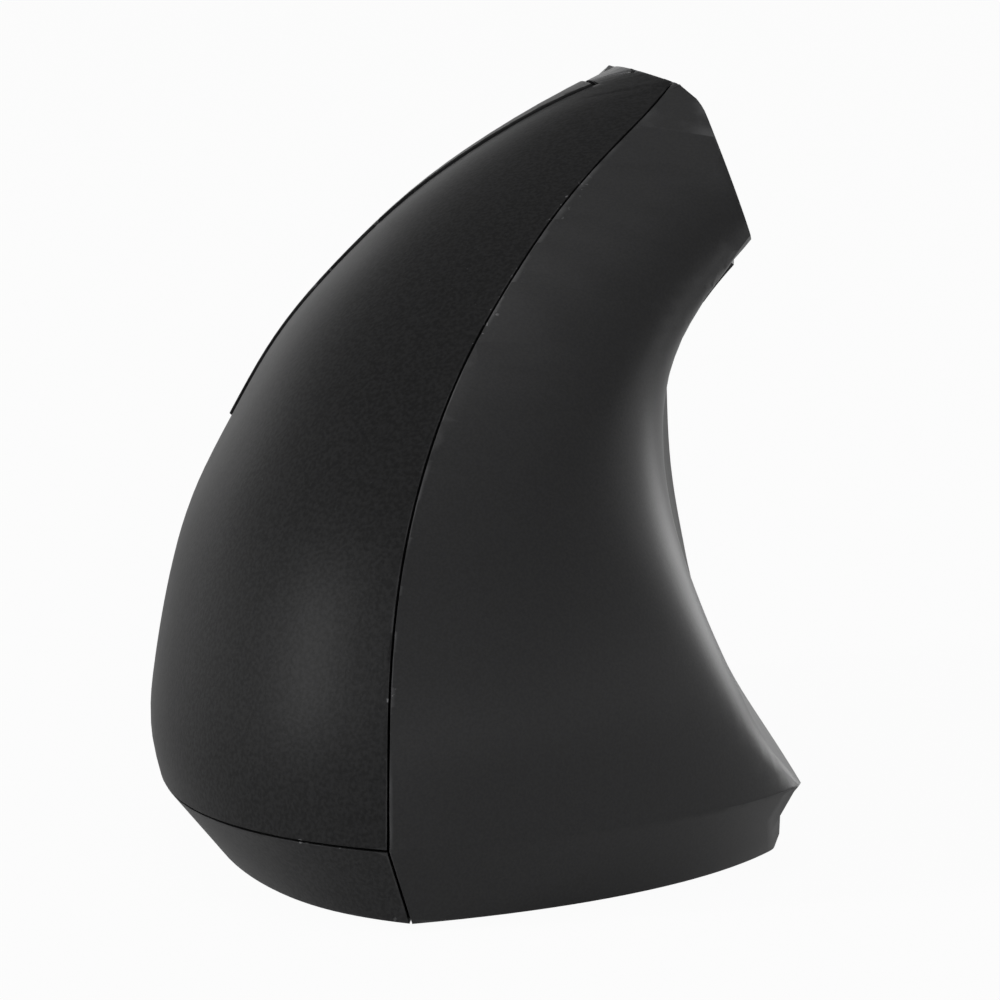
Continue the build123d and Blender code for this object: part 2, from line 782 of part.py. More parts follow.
# Side buttons: two long caps in the thumb channel, in a sheet that leans under the wing.
thumb_lean = radians(31.0)
thumb_out = Vector(cos(thumb_lean), 0, -sin(thumb_lean))
side_up_share = 0.765
side_y_shares = (0.1667, 0.4367)
side_cap_length = 13.6
side_cap_width = 5.0
side_proud = 2.0
side_travel = 0.6
side_flange = 0.9
side_flange_thickness = 1.0
side_back_share = -0.1704
side_up = side_up_share * body_height
side_back = side_back_share * body_height
side_board_y_shares = (-0.008, 0.51)
side_board_up_shares = (0.738, 0.844)
side_switch_up_share = 0.770
side_post_up_share = 0.785
side_post_y_shares = (0.0267, 0.3017)
side_post_radius = 1.0
stake_radius = 0.7
stake_gap = 0.1
stake_end = 0.5
side_plunger_top = side_back - side_travel
side_board_top = side_plunger_top - tact_plunger - tact_height


def thumb_plane(depth):
    """Plane in the thumb sheet, with local x towards the nose and local y up the sheet."""
    return Plane(origin=thumb_out * depth, x_dir=(0, 1, 0), z_dir=thumb_out)


def side_prism(y, grow, grow_up):
    """Ground of one side button, outwards from its back."""
    size = (side_cap_length + 2 * grow, side_cap_width + 2 * grow_up)
    return block_on(thumb_plane(side_back), (y, side_up), size, body_height)


side_places = [share * half_length for share in side_y_shares]
side_proud_form = upper_form(0, -side_proud)


def side_button(y):
    """Cap proud of the channel, with a flange behind the wall and a stub to the switch."""
    flange = (side_cap_length, side_cap_width + 2 * side_flange)
    with BuildPart() as flange_block:
        add(block_on(thumb_plane(side_back), (y, side_up), flange, side_flange_thickness))
        add(inner_form, mode=Mode.INTERSECT)
    with BuildPart() as button:
        add(side_prism(y, 0, 0))
        add(side_proud_form, mode=Mode.INTERSECT)
        add(flange_block.part)
        add(post_on(thumb_plane(side_back), (y, side_switch_up_share * body_height), side_post_radius, press_spare))
    return button.part


with BuildPart() as side_button_back:
    add(side_button(side_places[0]))
side_button_back.part.label = "side_button_back"
export_step(side_button_back.part, "parts/side_button_back.step")

with BuildPart() as side_button_front:
    add(side_button(side_places[1]))
side_button_front.part.label = "side_button_front"
export_step(side_button_front.part, "parts/side_button_front.step")

side_posts = [(y * half_length, side_post_up_share * body_height) for y in side_post_y_shares]

with BuildPart() as side_board:
    with BuildSketch(thumb_plane(side_board_top - board_thickness)):
        with BuildLine():
            Polyline(
                (side_board_y_shares[0] * half_length, side_board_up_shares[0] * body_height),
                (side_board_y_shares[1] * half_length, side_board_up_shares[0] * body_height),
                (side_board_y_shares[1] * half_length, side_board_up_shares[1] * body_height),
                (side_board_y_shares[0] * half_length, side_board_up_shares[1] * body_height),
                close=True,
            )
        make_face()
        with Locations(*side_posts):
            Circle(stake_radius + stake_gap, mode=Mode.SUBTRACT)
    extrude(amount=board_thickness)
side_board.part.label = "side_board"
export_step(side_board.part, "parts/side_board.step")

with BuildPart() as side_switches:
    with BuildSketch(thumb_plane(side_board_top)):
        with Locations(*[(y, side_switch_up_share * body_height) for y in side_places]):
            Rectangle(tact_size, tact_size)
    extrude(amount=tact_height)
    with BuildSketch(thumb_plane(side_board_top + tact_height)):
        with Locations(*[(y, side_switch_up_share * body_height) for y in side_places]):
            Circle(tact_plunger_radius)
    extrude(amount=tact_plunger)
side_switches.part.label = "side_switches"
export_step(side_switches.part, "parts/side_switches.step")

with BuildPart() as side_stakes:
    for place in side_posts:
        add(post_on(thumb_plane(side_board_top), place, side_post_radius, body_height))
    add(mid_form, mode=Mode.INTERSECT)
    for place in side_posts:
        start = side_board_top - board_thickness - stake_end
        add(post_on(thumb_plane(start), place, stake_radius, board_thickness + stake_end))

with BuildPart() as thumb_shell:
    add(outer_form)
    add(cavity_form, mode=Mode.SUBTRACT)
    add(thumb_block(-half_gap), mode=Mode.INTERSECT)
    add(front_block(half_gap), mode=Mode.SUBTRACT)
    for y in side_places:
        add(side_prism(y, half_press, half_press), mode=Mode.SUBTRACT)
    add(side_stakes.part)
    add(shell_posts(thumb_post_places, thumb_post_tops))

with BuildPart() as thumb_skirt:
    add(skirt_outer)
    add(skirt_inner, mode=Mode.SUBTRACT)
    add(skirt_thumb_block(-half_gap), mode=Mode.INTERSECT)

with BuildPart() as thumb_side:
    add(thumb_shell.part)
    add(thumb_skirt.part)
thumb_side.part.label = "thumb_shell"
export_step(thumb_side.part, "parts/thumb_shell.step")

with BuildPart() as front_cover:
    add(housing_zone.part)
    add(front_block(-half_gap), mode=Mode.INTERSECT)
    add(cavity_form, mode=Mode.SUBTRACT)
    add(primary_field, mode=Mode.SUBTRACT)
    add(secondary_field, mode=Mode.SUBTRACT)
front_cover.part.label = "front_cover"
export_step(front_cover.part, "parts/front_cover.step")

with BuildPart() as palm_zone:
    add(housing_zone.part)
    add(thumb_block(half_gap), mode=Mode.SUBTRACT)
    add(front_block(half_gap), mode=Mode.SUBTRACT)
    add(trim_block(-half_gap), mode=Mode.SUBTRACT)
    add(primary_field, mode=Mode.SUBTRACT)
    add(secondary_field, mode=Mode.SUBTRACT)

with BuildPart() as palm_posts:
    add(shell_posts(palm_post_places, palm_post_tops))
    add(secondary_field, mode=Mode.SUBTRACT)

with BuildPart() as palm_shell:
    add(palm_zone.part)
    add(cavity_form, mode=Mode.SUBTRACT)
    add(palm_posts.part)
palm_shell.part.label = "palm_shell"
export_step(palm_shell.part, "parts/palm_shell.step")

# Resolution button on the deck, with its small board hung under the trim.
deck_x = deck_corner_share[0] * half_width
deck_z = deck_corner_share[1] * body_height
deck_along = Vector(cos(radians(deck_fall)), 0, -sin(radians(deck_fall)))
deck_out = deck_along.cross(Vector(crown_drift_shares[0], 1, crown_drift_shares[1])).normalized()
dpi_x_share = 0.427
dpi_y_share = 0.40
dpi_x = dpi_x_share * half_width
dpi_y = dpi_y_share * half_length
dpi_rise = (deck_x + crown_drift_shares[0] * dpi_y - dpi_x) * tan(radians(deck_fall))
dpi_origin = Vector(dpi_x, dpi_y, deck_z + crown_drift_shares[1] * dpi_y + dpi_rise)
dpi_width = 4.2
dpi_length = 9.0
dpi_round = 1.6
dpi_proud = 0.5
dpi_travel = 0.4
dpi_gap = 0.25
dpi_flange = 0.8
dpi_flange_thickness = 0.8
dpi_back = -(shell_wall + running_gap + dpi_flange_thickness)
dpi_plunger_top = dpi_back - dpi_travel - press_spare
dpi_board_top = dpi_plunger_top - tact_plunger - tact_height
dpi_board_width = 8.0
dpi_board_rear = 14.2
dpi_board_front = 8.6
dpi_post_y_shares = (0.80, -0.95)
dpi_post_radius = 1.4
dpi_post_places = [(0, share * dpi_board_front) for share in dpi_post_y_shares]
lens_y_share = -0.86
lens_place = (0, lens_y_share * dpi_board_rear)
lens_radius = 0.9
lens_collar = 1.6
lens_collar_thickness = 0.6
lens_gap = 0.05
led_height = 0.7
led_size = 1.6


def deck_plane(depth):
    """Plane of the deck at a depth, with local y towards the nose."""
    return Plane(origin=dpi_origin + deck_out * depth, x_dir=deck_along, z_dir=deck_out)


def dpi_prism(grow):
    """Ground of the resolution button, outwards from its back."""
    with BuildPart() as prism:
        with BuildSketch(deck_plane(dpi_back)):
            RectangleRounded(dpi_width + 2 * grow, dpi_length + 2 * grow, dpi_round + grow)
        extrude(amount=body_height)
    return prism.part


with BuildPart() as dpi_flange_block:
    add(block_on(
        deck_plane(dpi_back),
        (0, 0),
        (dpi_width + 2 * dpi_flange, dpi_length + 2 * dpi_flange),
        dpi_flange_thickness,
    ))
    add(inner_form, mode=Mode.INTERSECT)

with BuildPart() as dpi_button:
    add(dpi_prism(0))
    with BuildSketch(deck_plane(dpi_proud)):
        Rectangle(body_height, body_height)
    extrude(amount=2 * body_height, mode=Mode.SUBTRACT)
    add(dpi_flange_block.part)
dpi_button.part.label = "dpi_button"
export_step(dpi_button.part, "parts/dpi_button.step")

with BuildPart() as dpi_board:
    board_middle = (dpi_board_front - dpi_board_rear) / 2
    board_run = dpi_board_front + dpi_board_rear
    base_plane = deck_plane(dpi_board_top - board_thickness)
    add(block_on(base_plane, (0, board_middle), (dpi_board_width, board_run), board_thickness))
    for place in dpi_post_places:
        add(post_on(base_plane, place, stake_radius + stake_gap, board_thickness), mode=Mode.SUBTRACT)
dpi_board.part.label = "dpi_board"
export_step(dpi_board.part, "parts/dpi_board.step")

with BuildPart() as dpi_switch:
    add(block_on(deck_plane(dpi_board_top), (0, 0), (tact_size, tact_size), tact_height))
    add(post_on(deck_plane(dpi_board_top + tact_height), (0, 0), tact_plunger_radius, tact_plunger))
dpi_switch.part.label = "dpi_switch"
export_step(dpi_switch.part, "parts/dpi_switch.step")

with BuildPart() as indicator_lens:
    lens_foot = dpi_board_top + led_height
    add(post_on(deck_plane(lens_foot), lens_place, lens_radius, -lens_foot))
    collar_foot = -(shell_wall + running_gap + lens_collar_thickness)
    add(post_on(deck_plane(collar_foot), lens_place, lens_collar, lens_collar_thickness))
indicator_lens.part.label = "indicator_lens"
export_step(indicator_lens.part, "parts/indicator_lens.step")

with BuildPart() as indicator_lamp:
    add(block_on(deck_plane(dpi_board_top), lens_place, (led_size, led_size), led_height))
indicator_lamp.part.label = "indicator_lamp"
export_step(indicator_lamp.part, "parts/indicator_lamp.step")

with BuildPart() as dpi_posts:
    for place in dpi_post_places:
        add(post_on(deck_plane(dpi_board_top), place, dpi_post_radius, body_height))
    add(mid_form, mode=Mode.INTERSECT)
    for place in dpi_post_places:
        start = dpi_board_top - board_thickness - stake_end
        add(post_on(deck_plane(start), place, stake_radius, board_thickness + stake_end))

with BuildPart() as top_trim:
    add(housing_zone.part)
    add(trim_block(half_gap), mode=Mode.INTERSECT)
    add(thumb_block(half_gap), mode=Mode.SUBTRACT)
    add(front_block(half_gap), mode=Mode.SUBTRACT)
    add(cavity_form, mode=Mode.SUBTRACT)
    add(primary_field, mode=Mode.SUBTRACT)
    add(dpi_prism(dpi_gap), mode=Mode.SUBTRACT)
    add(post_on(deck_plane(dpi_back), lens_place, lens_radius + lens_gap, body_height), mode=Mode.SUBTRACT)
    add(dpi_posts.part)
top_trim.part.label = "top_trim"
export_step(top_trim.part, "parts/top_trim.step")


# Main buttons: shell caps with hinge lugs, a post over each switch and the wheel's slot.
def lug(share):
    """Hinge lug across the sheet, from the pin up to the cap."""
    rear, front = [root * half_length for root in lug_root_shares]
    with BuildPart() as plate:
        with BuildSketch(finger_cross(share * body_height - lug_thickness / 2)):
            with Locations((pin_y, pin_depth)):
                Circle(lug_eye)
            Polygon(
                (pin_y, pin_depth - lug_eye),
                (front, pin_depth - lug_eye),
                (front, body_height),
                (rear, body_height),
                (rear, pin_depth + lug_eye),
                (pin_y, pin_depth + lug_eye),
                align=None,
            )
            with Locations((pin_y, pin_depth)):
                Circle(pin_radius + pin_fit, mode=Mode.SUBTRACT)
        extrude(amount=lug_thickness)
        add(mid_form, mode=Mode.INTERSECT)
    return plate.part


def click_post(up):
    """Post from the cap down to just above the switch plunger."""
    start = switch_floor + click_switch_height + click_plunger + click_room
    with BuildPart() as post:
        add(post_on(finger_plane(start), (-click_y, up), click_post_radius, body_height))
        add(mid_form, mode=Mode.INTERSECT)
    return post.part


with BuildPart() as wheel_slot:
    with BuildSketch(finger_plane(sheet_floor)):
        with Locations((-wheel_y, button_split)):
            RectangleRounded(wheel_slot_length, wheel_width + 2 * wheel_gap, wheel_slot_round)
    extrude(amount=body_height)
    with BuildSketch(finger_plane(sheet_floor)):
        with Locations((-wheel_y, button_split)):
            Rectangle(2 * (wheel_radius + wheel_gap), wheel_width + 2 * wheel_gap)
    extrude(amount=wheel_depth + wheel_slot_step - sheet_floor)

with BuildPart() as primary_button:
    add(proud_form)
    add(button_prism(primary_outline, -half_press), mode=Mode.INTERSECT)
    add(cavity_form, mode=Mode.SUBTRACT)
    add(wheel_slot.part, mode=Mode.SUBTRACT)
    add(click_post(primary_up))
    for share in primary_lug_shares:
        add(lug(share))
primary_button.part.label = "primary_button"
export_step(primary_button.part, "parts/primary_button.step")

with BuildPart() as secondary_button:
    add(proud_form)
    add(button_prism(secondary_outline, -half_press), mode=Mode.INTERSECT)
    add(cavity_form, mode=Mode.SUBTRACT)
    add(wheel_slot.part, mode=Mode.SUBTRACT)
    add(click_post(secondary_up))
    for share in secondary_lug_shares:
        add(lug(share))
secondary_button.part.label = "secondary_button"
export_step(secondary_button.part, "parts/secondary_button.step")

with BuildPart() as button_pin:
    pin_low, pin_high = [share * body_height for share in pin_end_shares]
    add(post_on(finger_cross(pin_low), (pin_y, pin_depth), pin_radius, pin_high - pin_low))
button_pin.part.label = "button_pin"
export_step(button_pin.part, "parts/button_pin.step")

# Inner frame: a plate in the finger sheet on two legs, with hinge arms and guide posts.
standoff_places = [(y * half_length, up * body_height) for y, up in standoff_shares]
well_size = (2 * carrier_inner_y, wheel_width + 2 * carrier_clear)
guide_places = [(wheel_y - guide_y, button_split), (wheel_y + guide_y, button_split)]


def frame_leg(y):
    """Upright leg from the floor socket to the plate's low edge."""
    near, far = leg_x - leg_thickness / 2, leg_x + leg_thickness / 2
    root = finger_point(0, frame_low + leg_thickness, frame_depth)
    lip = finger_point(0, frame_low, frame_depth + frame_thickness)
    with BuildPart() as leg:
        with BuildSketch(Plane.XZ.offset(-y - leg_width / 2)):
            Polygon(
                (near, floor_top),
                (far, floor_top),
                (far, root.Z - 2 * leg_thickness),
                (root.X, root.Z),
                (lip.X, lip.Z),
                (near, lip.Z - leg_thickness),
                align=None,
            )
        extrude(amount=leg_width)
    return leg.part


def hinge_arm(share):
    """Arm across the sheet that carries the hinge pin."""
    foot = frame_y[0] + overrun
    with BuildPart() as arm:
        with BuildSketch(finger_cross(share * body_height - arm_thickness / 2)):
            with Locations((pin_y, pin_depth)):
                Circle(arm_eye)
            Polygon(
                (foot, frame_depth),
                (foot + arm_foot, frame_depth),
                (pin_y + arm_eye, pin_depth),
                (pin_y - arm_eye, pin_depth),
                align=None,
            )
            with Locations((pin_y, pin_depth)):
                Circle(pin_radius, mode=Mode.SUBTRACT)
        extrude(amount=arm_thickness)
    return arm.part


with BuildPart() as inner_frame:
    plate_place = (-(frame_y[0] + frame_y[1]) / 2, (frame_low + frame_high) / 2)
    plate_size = (frame_y[1] - frame_y[0], frame_high - frame_low)
    add(block_on(finger_plane(frame_depth), plate_place, plate_size, frame_thickness))
    for y, up in standoff_places:
        add(post_on(finger_plane(frame_depth), (-y, up), standoff_radius, frame_thickness + standoff))
    for y, up in guide_places:
        add(post_on(finger_plane(frame_depth), (-y, up), guide_radius, guide_top - frame_depth))
    for share in arm_up_shares:
        add(hinge_arm(share))
    for y in leg_places:
        add(frame_leg(y))
    well = block_on(finger_plane(frame_depth - overrun), (-wheel_y, button_split), well_size, body_height)
    add(well, mode=Mode.SUBTRACT)
    for y, up in standoff_places:
        pilot = post_on(finger_plane(frame_depth), (-y, up), board_screw_radius + thread_gap, body_height)
        add(pilot, mode=Mode.SUBTRACT)
inner_frame.part.label = "inner_frame"
export_step(inner_frame.part, "parts/inner_frame.step")

with BuildPart() as button_board:
    board_y0, board_y1 = sheet_board_y
    board_up0, board_up1 = sheet_board_up
    ear_y0, ear_y1 = [share * half_length for share in ear_y_shares]
    ear_up0, ear_up1 = [share * body_height for share in ear_up_shares]
    with BuildSketch(finger_plane(sheet_board_depth)):
        Polygon(
            (-board_y0, board_up0),
            (-board_y1, board_up0),
            (-board_y1, ear_up1),
            (-ear_y1, ear_up1),
            (-ear_y1, ear_up0),
            (-ear_y0, ear_up0),
            (-ear_y0, board_up1),
            (-board_y0, board_up1),
            align=None,
        )
        with Locations((-wheel_y, button_split)):
            Rectangle(*well_size, mode=Mode.SUBTRACT)
        with Locations(*[(-y, up) for y, up in guide_places]):
            Circle(guide_radius + running_gap, mode=Mode.SUBTRACT)
        with Locations(*[(-y, up) for y, up in standoff_places]):
            Circle(board_hole_radius, mode=Mode.SUBTRACT)
    extrude(amount=board_thickness)
button_board.part.label = "button_board"
export_step(button_board.part, "parts/button_board.step")


def click_switch(up):
    """Snap switch with its plunger, standing on the button board."""
    with BuildPart() as switch:
        place = (-(click_y - click_plunger_offset), up)
        size = (click_switch_length, click_switch_width)
        add(block_on(finger_plane(switch_floor), place, size, click_switch_height))
        top = finger_plane(switch_floor + click_switch_height)
        add(block_on(top, (-click_y, up), (click_plunger_width, click_plunger_length), click_plunger))
    return switch.part


with BuildPart() as primary_switch:
    add(click_switch(primary_up))
primary_switch.part.label = "primary_switch"
export_step(primary_switch.part, "parts/primary_switch.step")

with BuildPart() as secondary_switch:
    add(click_switch(secondary_up))
secondary_switch.part.label = "secondary_switch"
export_step(secondary_switch.part, "parts/secondary_switch.step")

with BuildPart() as middle_switch:
    place = (-middle_y, middle_up)
    add(block_on(finger_plane(switch_floor), place, (tact_size, tact_size), tact_height))
    add(post_on(finger_plane(switch_floor + tact_height), place, tact_plunger_radius, tact_plunger))
middle_switch.part.label = "middle_switch"
export_step(middle_switch.part, "parts/middle_switch.step")

with BuildPart() as wheel_encoder:
    encoder_up = button_split + carrier_half_up + encoder_gap
    place = (-wheel_y, encoder_up + encoder_thickness / 2)
    rise = wheel_depth + encoder_rise - switch_floor
    add(block_on(finger_plane(switch_floor), place, (encoder_width, encoder_thickness), rise))
    with BuildSketch(finger_cross(encoder_up - overrun)):
        with Locations((wheel_y, wheel_depth - wheel_travel / 2)):
            SlotCenterToCenter(wheel_travel, 2 * (axle_radius + running_gap), rotation=90)
    extrude(amount=encoder_thickness + 2 * overrun, mode=Mode.SUBTRACT)
wheel_encoder.part.label = "wheel_encoder"
export_step(wheel_encoder.part, "parts/wheel_encoder.step")

with BuildPart() as wheel_carrier:
    ring_floor = wheel_depth - carrier_thickness / 2
    with BuildSketch(finger_plane(ring_floor)):
        with Locations((-wheel_y, button_split)):
            Rectangle(2 * carrier_half_y, 2 * carrier_half_up)
            Rectangle(*well_size, mode=Mode.SUBTRACT)
        with Locations(*[(-y, up) for y, up in guide_places]):
            Circle(guide_radius + guide_fit, mode=Mode.SUBTRACT)
    extrude(amount=carrier_thickness)
    tab_size = (tab_width, tab_length + overrun)
    tab_place = (-middle_y, middle_up + overrun / 2)
    add(block_on(finger_plane(ring_floor), tab_place, tab_size, tab_thickness))
    finger_floor = switch_floor + tact_height + tact_plunger + wheel_travel + press_spare
    finger_rise = ring_floor - finger_floor
    add(post_on(finger_plane(finger_floor), (-middle_y, middle_up), tact_plunger_radius, finger_rise))
    with BuildSketch(finger_cross(button_split - carrier_half_up - overrun)):
        with Locations((wheel_y, wheel_depth)):
            Circle(axle_radius + axle_fit)
    extrude(amount=2 * carrier_half_up + 2 * overrun, mode=Mode.SUBTRACT)
wheel_carrier.part.label = "wheel_carrier"
export_step(wheel_carrier.part, "parts/wheel_carrier.step")

with BuildPart() as scroll_axle:
    axle_start = button_split - carrier_half_up - encoder_gap
    axle_run = 2 * carrier_half_up + 2 * encoder_gap + axle_reach
    add(post_on(finger_cross(axle_start), (wheel_y, wheel_depth), axle_radius, axle_run))
scroll_axle.part.label = "scroll_axle"
export_step(scroll_axle.part, "parts/scroll_axle.step")

hub_radius = wheel_radius - tyre_thickness
wheel_foot = button_split - wheel_width / 2

with BuildPart() as scroll_hub:
    with BuildSketch(finger_cross(wheel_foot)):
        with Locations((wheel_y, wheel_depth)):
            Circle(hub_radius)
            Circle(axle_radius, mode=Mode.SUBTRACT)
    extrude(amount=wheel_width)
    pocket = (wheel_width - hub_web) / 2
    for foot in (wheel_foot, wheel_foot + wheel_width - pocket):
        with BuildSketch(finger_cross(foot)):
            with Locations((wheel_y, wheel_depth)):
                Circle(hub_radius - hub_rim)
                Circle(hub_boss, mode=Mode.SUBTRACT)
        extrude(amount=pocket, mode=Mode.SUBTRACT)
scroll_hub.part.label = "scroll_hub"
export_step(scroll_hub.part, "parts/scroll_hub.step")

with BuildPart() as scroll_tyre:
    with BuildSketch(finger_cross(wheel_foot)):
        with Locations((wheel_y, wheel_depth)):
            Circle(wheel_radius)
    extrude(amount=wheel_width)
    chamfer(edges(), tyre_edge)
    with BuildSketch(finger_cross(wheel_foot)):
        with Locations((wheel_y, wheel_depth)):
            Circle(hub_radius)
            with PolarLocations(wheel_radius, tyre_grooves):
                Rectangle(2 * tyre_groove_depth, tyre_groove_width)
    extrude(amount=wheel_width, mode=Mode.SUBTRACT)
scroll_tyre.part.label = "scroll_tyre"
export_step(scroll_tyre.part, "parts/scroll_tyre.step")

# Main board on the floor bosses, with sensor, lens and power switch.
sensor_opening = 6.0
sensor_width = 9.0
sensor_length = 11.0
sensor_height = 2.9
lens_width = 10.0
lens_length = 12.0
lens_plate = 1.4
lens_dome = 2.6
lens_dome_drop = 1.0
lens_neck = 2.4
slide_switch_width = 4.0
slide_switch_length = 9.0
slide_stem = 1.2
slide_stem_rise = 2.0
slider_sink = 0.2
switch_air = 0.5

with BuildPart() as main_board:
    with BuildSketch(Plane.XY.offset(board_bottom)):
        with Locations((board_x, board_y)):
            Rectangle(board_width, board_length)
        with Locations((window_x, window_y)):
            Rectangle(sensor_opening, sensor_opening, mode=Mode.SUBTRACT)
        with Locations(*board_screw_places):
            Circle(board_hole_radius, mode=Mode.SUBTRACT)
    extrude(amount=board_thickness)
main_board.part.label = "main_board"
export_step(main_board.part, "parts/main_board.step")

with BuildPart() as sensor_chip:
    add(block_on(Plane.XY.offset(board_top), (window_x, window_y), (sensor_width, sensor_length), sensor_height))
sensor_chip.part.label = "sensor_chip"
export_step(sensor_chip.part, "parts/sensor_chip.step")

with BuildPart() as sensor_lens:
    place = (window_x, window_y)
    add(block_on(Plane.XY.offset(floor_top), place, (lens_width, lens_length), lens_plate))
    add(post_on(Plane.XY.offset(floor_top - lens_dome_drop), place, lens_dome, lens_dome_drop))
    add(post_on(Plane.XY.offset(floor_top + lens_plate), place, lens_neck, board_top - floor_top - lens_plate))
sensor_lens.part.label = "sensor_lens"
export_step(sensor_lens.part, "parts/sensor_lens.step")

with BuildPart() as power_switch:
    place = (slider_x, slider_y + slider_travel / 2)
    foot = floor_top + switch_air
    add(block_on(Plane.XY.offset(foot), place, (slide_switch_width, slide_switch_length), board_bottom - foot))
    stem_room = (slide_stem + 2 * running_gap, slide_stem + slider_travel + 2 * running_gap)
    stem_top = floor_top + slide_stem_rise + running_gap
    add(block_on(Plane.XY.offset(foot), place, stem_room, stem_top - foot), mode=Mode.SUBTRACT)
power_switch.part.label = "power_switch"
export_step(power_switch.part, "parts/power_switch.step")

with BuildPart() as power_slider:
    place = (slider_x, slider_y)
    knob_foot = underside + slider_sink
    add(block_on(Plane.XY.offset(knob_foot), place, (slider_width, slider_length), floor_top - knob_foot))
    add(block_on(Plane.XY.offset(floor_top), place, (slide_stem, slide_stem), slide_stem_rise))
power_slider.part.label = "power_slider"
export_step(power_slider.part, "parts/power_slider.step")


def screw(plane, place, radius, head, head_height, length):
    """Screw with its head standing on a plane and its shank running back from it."""
    with BuildPart() as fastener:
        add(post_on(plane, place, head, head_height))
        add(post_on(plane, place, radius, -length))
    return fastener.part


with BuildPart() as board_screws:
    for place in board_screw_places:
        add(screw(
            Plane.XY.offset(board_top), place, board_screw_radius,
            board_screw_head, board_screw_head_height, board_screw_length,
        ))
    for y, up in standoff_places:
        add(screw(
            finger_plane(switch_floor), (-y, up), board_screw_radius,
            board_screw_head, board_screw_head_height, board_screw_length,
        ))
board_screws.part.label = "board_screws"
export_step(board_screws.part, "parts/board_screws.step")

with BuildPart() as case_screws:
    for place in palm_post_places + thumb_post_places:
        add(screw(
            Plane.XY.offset(screw_seat), place, screw_radius,
            screw_head_radius, -screw_head_height, -screw_length,
        ))
case_screws.part.label = "case_screws"
export_step(case_screws.part, "parts/case_screws.step")

# Cells with their contacts, and the door under them.
nub_radius = 2.75
nub_length = 1.0
contact_height = 7.0
contact_width = 8.0
spring_radius = 2.2


def cell(x):
    """Cell lying along the body, plus end to the nose."""
    rear = cell_y - cell_length / 2
    with BuildPart() as can:
        with BuildSketch(Plane.XZ.offset(-rear)):
            with Locations((x, cell_z)):
                Circle(cell_radius)
        extrude(amount=-(cell_length - nub_length))
        with BuildSketch(Plane.XZ.offset(-rear)):
            with Locations((x, cell_z)):
                Circle(nub_radius)
        extrude(amount=-cell_length)
    return can.part


with BuildPart() as battery_left:
    add(cell(cell_x[0]))
battery_left.part.label = "battery_left"
export_step(battery_left.part, "parts/battery_left.step")

with BuildPart() as battery_right:
    add(cell(cell_x[1]))
battery_right.part.label = "battery_right"
export_step(battery_right.part, "parts/battery_right.step")

with BuildPart() as battery_contacts:
    rear_wall = bay_y - bay_length / 2
    strip_run = contact_height / 2
    for x in cell_x:
        with BuildSketch(Plane.XY.offset(cell_z - strip_run)):
            with Locations((x, contact_face + contact_strip / 2), (x, rear_wall + contact_strip / 2)):
                Rectangle(contact_width, contact_strip)
        extrude(amount=contact_height)
        with BuildSketch(Plane.XZ.offset(-rear_wall)):
            with Locations((x, cell_z)):
                Circle(spring_radius)
        extrude(amount=-(cell_y - cell_length / 2 - rear_wall))
battery_contacts.part.label = "battery_contacts"
export_step(battery_contacts.part, "parts/battery_contacts.step")

finger_notch = 1.0
notch_length = 12.0
notch_width = 5.0

with BuildPart() as battery_door:
    with BuildSketch(Plane.XY.offset(underside)):
        with Locations((bay_x, bay_y)):
            Rectangle(bay_width + 2 * (door_rim - door_gap), bay_length + 2 * (door_rim - door_gap))
    extrude(amount=door_thickness)
    with BuildSketch(Plane.XY.offset(underside)):
        with Locations((bay_x, bay_y - bay_length / 2 + notch_width)):
            SlotOverall(notch_length, notch_width)
    extrude(amount=finger_notch, mode=Mode.SUBTRACT)
battery_door.part.label = "battery_door"
export_step(battery_door.part, "parts/battery_door.step")

# Receiver: a cap with a tongue, and a metal plug round the tongue.
plug_wall = 0.4
tongue_depth = 1.9
tongue_sink = 1.5
receiver_sink = 0.2
receiver_foot = underside + receiver_sink

with BuildPart() as receiver_body:
    place = (well_x, well_y)
    tongue = (tongue_depth, plug_width - 2 * plug_wall)
    add(block_on(Plane.XY.offset(receiver_foot), place, (receiver_depth, receiver_width), receiver_cap))
    plug_foot = receiver_foot + receiver_cap
    add(block_on(Plane.XY.offset(plug_foot), place, tongue, plug_length - tongue_sink))
receiver_body.part.label = "receiver_body"
export_step(receiver_body.part, "parts/receiver_body.step")

with BuildPart() as receiver_plug:
    with BuildSketch(Plane.XY.offset(plug_foot)):
        with Locations((well_x, well_y)):
            Rectangle(plug_depth, plug_width)
            Rectangle(plug_depth - 2 * plug_wall, plug_width - 2 * plug_wall, mode=Mode.SUBTRACT)
    extrude(amount=plug_length)
receiver_plug.part.label = "receiver_plug"
export_step(receiver_plug.part, "parts/receiver_plug.step")
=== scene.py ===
"""Upright mouse for the left hand: smooth shells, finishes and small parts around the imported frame."""

import json
from math import cos, hypot, radians, sin, tan

import bmesh
import bpy
import numpy as np
from mathutils import Matrix, Vector
from mathutils.bvhtree import BVHTree

